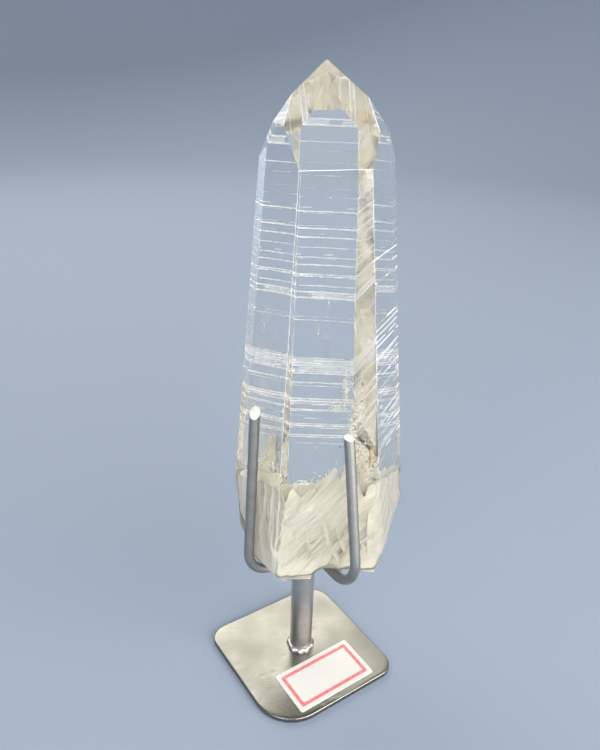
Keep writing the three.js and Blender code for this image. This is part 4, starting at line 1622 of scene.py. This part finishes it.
class QUARTZ_OT_plate(bpy.types.Operator):
    """Build the square base plate with its rounded corners and dents"""
    bl_idname = "quartz.build_plate"
    bl_label = "Base plate"

    def execute(self, context):
        build_plate(context.scene.quartz_stand)
        return {"FINISHED"}


def build_label(settings):
    length = settings.length
    width = settings.width
    thickness = LABEL_HIGH.z - LABEL_LOW.z

    def ring(inset, height, radius):
        radius = max(0.0001, radius)
        outline = rounded_outline(length - 2 * inset, width - 2 * inset, [radius] * 4, 8)
        made = []
        for point in outline:
            curl = 0.00012 * smooth_step(0.6, 1.0, (point.x / length + point.y / width))
            made.append(Vector((point.x, point.y, height + curl * 2)))
        return made

    corner = 0.0008
    frame_outer = settings.margin
    frame_inner = settings.margin + settings.line
    rings = [ring(0.003, 0, 0.0006), ring(0, 0, corner), ring(0, thickness * 0.8, corner),
             ring(0.00006, thickness, corner)]
    bands = [0, 0, 0]
    for inset, radius in ((frame_outer, 0.0007), (frame_inner, 0.0004), (frame_inner + 0.0008, 0.0002),
                          (width * 0.36, 0.0001)):
        rings.append(ring(inset, thickness, radius))
        bands.append(0)
    bands[4] = 1
    label = slab("paper_label", rings, bands)
    label.data.transform(Matrix.Translation(Vector((
        (LABEL_LOW.x + LABEL_HIGH.x) / 2, (LABEL_LOW.y + LABEL_HIGH.y) / 2, LABEL_LOW.z)))
        @ Matrix.Rotation(math.radians(0.4), 4, "Z"))
    set_materials(label, [paper_material(settings), ink_material(settings)])
    finish_piece(label, "label_paper", "label")
    return label


class QUARTZ_OT_label(bpy.types.Operator):
    """Build the paper label with its printed frame"""
    bl_idname = "quartz.build_label"
    bl_label = "Label"

    def execute(self, context):
        build_label(context.scene.quartz_label)
        return {"FINISHED"}


# Studio

CAMERA_PLACE = (-106.08, -148.32, 203.58)
CAMERA_HEADING = 34.5
CAMERA_PITCH = 25.94
CAMERA_ROLL = 1.91


def build_camera(settings):
    heading = math.radians(CAMERA_HEADING)
    pitch = math.radians(CAMERA_PITCH)
    roll = math.radians(CAMERA_ROLL)
    ahead = Vector((math.sin(heading) * math.cos(pitch), math.cos(heading) * math.cos(pitch), -math.sin(pitch)))
    level = Vector((math.cos(heading), -math.sin(heading), 0))
    above = level.cross(ahead)
    right = level * math.cos(roll) + above * math.sin(roll)
    up = above * math.cos(roll) - level * math.sin(roll)
    data = bpy.data.cameras.new("camera")
    data.lens = settings.lens
    data.sensor_width = 36
    data.sensor_fit = "AUTO"
    data.clip_start = 0.005
    data.clip_end = 20
    camera = bpy.data.objects.new("camera", data)
    bpy.context.scene.collection.objects.link(camera)
    place = Matrix((right, up, -ahead)).transposed().to_4x4()
    camera.matrix_world = Matrix.Translation(Vector(CAMERA_PLACE) * MM) @ place
    bpy.context.scene.camera = camera


def area_light(name, place, target, size, power, colour):
    data = bpy.data.lights.new(name, "AREA")
    data.shape = "RECTANGLE"
    data.size, data.size_y = size
    data.energy = power
    data.color = colour
    light = bpy.data.objects.new(name, data)
    bpy.context.scene.collection.objects.link(light)
    towards = Vector(target) - Vector(place)
    light.rotation_euler = towards.to_track_quat("-Z", "Y").to_euler()
    light.location = place


def build_world(settings):
    """Soft light from all round, warm and bright above, cooler and dimmer near the ground."""
    world = bpy.data.worlds.new("studio")
    bpy.context.scene.world = world
    world.use_nodes = True
    tree = world.node_tree
    direction = add_node(tree, "ShaderNodeTexCoord").outputs["Generated"]
    split = add_node(tree, "ShaderNodeSeparateXYZ", {0: direction})
    sideways = math_node(tree, "MULTIPLY", split.outputs["X"], 0.5)
    share = value_range(tree, math_node(tree, "ADD", split.outputs["Z"], sideways), -0.1, 0.9)
    tone = colour_mix(tree, share, (0.18, 0.22, 0.28, 1), (1.0, 0.97, 0.9, 1))
    background = tree.nodes["Background"]
    tree.links.new(tone, background.inputs["Color"])
    background.inputs["Strength"].default_value = settings.sky


def set_light_paths():
    """Lets light be reflected inside the crystal as often as it needs to get out."""
    cycles = bpy.context.scene.cycles
    cycles.max_bounces = 24
    cycles.glossy_bounces = 24
    cycles.transmission_bounces = 24


def set_view():
    """Shows the light as it is, with no film look over it."""
    view = bpy.context.scene.view_settings
    view.view_transform = "Standard"
    view.exposure = -0.35


def build_studio(settings):
    radius = settings.floor_radius
    bend = settings.wall_height
    profile = [(radius * step / 6, 0) for step in range(1, 7)]
    profile += [(radius + bend * math.sin(angle), bend * (1 - math.cos(angle)))
                for angle in [math.pi / 2 * step / 12 for step in range(1, 13)]]
    sides = 96
    points = [(0, 0, 0)]
    for reach, height in profile:
        for side in range(sides):
            angle = math.tau * side / sides
            points.append((reach * math.cos(angle), reach * math.sin(angle), height))
    faces = [(0, 1 + side, 1 + (side + 1) % sides) for side in range(sides)]
    for ring in range(len(profile) - 1):
        for side in range(sides):
            after = (side + 1) % sides
            base = 1 + ring * sides
            faces.append((base + side, base + sides + side, base + sides + after, base + after))
    floor = mesh_object("floor", points, faces)
    floor.data.polygons.foreach_set("use_smooth", [True] * len(floor.data.polygons))
    set_materials(floor, [floor_material(settings)])
    build_world(settings)
    area_light("key", (0.3, -1.05, 0.44), (0, 0, 0.12), (1.5, 1.1), settings.key_power, (1.0, 0.96, 0.9))
    area_light("side", (-1.05, -0.65, 0.45), (0, 0, 0.12), (0.7, 0.7), settings.side_power, (0.95, 0.97, 1.0))
    area_light("rim", (0.1, 0.95, 0.85), (0, 0, 0.12), (1.5, 0.8), settings.rim_power, (1.0, 0.95, 0.86))
    build_camera(settings)
    set_light_paths()
    set_view()


class QUARTZ_OT_studio(bpy.types.Operator):
    """Build the floor, the lights and the camera"""
    bl_idname = "quartz.build_studio"
    bl_label = "Studio"

    def execute(self, context):
        build_studio(context.scene.quartz_studio)
        return {"FINISHED"}


class QUARTZ_PT_panel(bpy.types.Panel):
    """Lists the settings and the operators"""
    bl_idname = "QUARTZ_PT_panel"
    bl_label = "Quartz point"
    bl_space_type = "VIEW_3D"
    bl_region_type = "UI"
    bl_category = "Quartz point"

    def draw(self, context):
        layout = self.layout
        for title, holder in SETTINGS.items():
            box = layout.box()
            box.label(text=title)
            settings = getattr(context.scene, holder[0])
            for name in holder[1].__annotations__:
                box.prop(settings, name)
        for operator in OPERATORS:
            layout.operator(operator.bl_idname)


SETTINGS = {
    "Crystal": ("quartz_body", QuartzSettings),
    "Veils": ("quartz_veils", VeilSettings),
    "Stand": ("quartz_stand", StandSettings),
    "Label": ("quartz_label", LabelSettings),
    "Studio": ("quartz_studio", StudioSettings),
}
OPERATORS = (QUARTZ_OT_crystal, QUARTZ_OT_veils, QUARTZ_OT_grains, QUARTZ_OT_wires, QUARTZ_OT_rod, QUARTZ_OT_plate, QUARTZ_OT_label, QUARTZ_OT_studio)


def register():
    for _holder, settings in SETTINGS.values():
        bpy.utils.register_class(settings)
    for operator in OPERATORS:
        bpy.utils.register_class(operator)
    bpy.utils.register_class(QUARTZ_PT_panel)
    for holder, settings in SETTINGS.values():
        setattr(bpy.types.Scene, holder, bpy.props.PointerProperty(type=settings))


def unregister():
    for holder, _settings in SETTINGS.values():
        delattr(bpy.types.Scene, holder)
    bpy.utils.unregister_class(QUARTZ_PT_panel)
    for operator in reversed(OPERATORS):
        bpy.utils.unregister_class(operator)
    for _holder, settings in reversed(SETTINGS.values()):
        bpy.utils.unregister_class(settings)


def main():
    register()
    for operator in OPERATORS:
        group, name = operator.bl_idname.split(".")
        getattr(getattr(bpy.ops, group), name)()


if __name__ == "__main__":
    main()
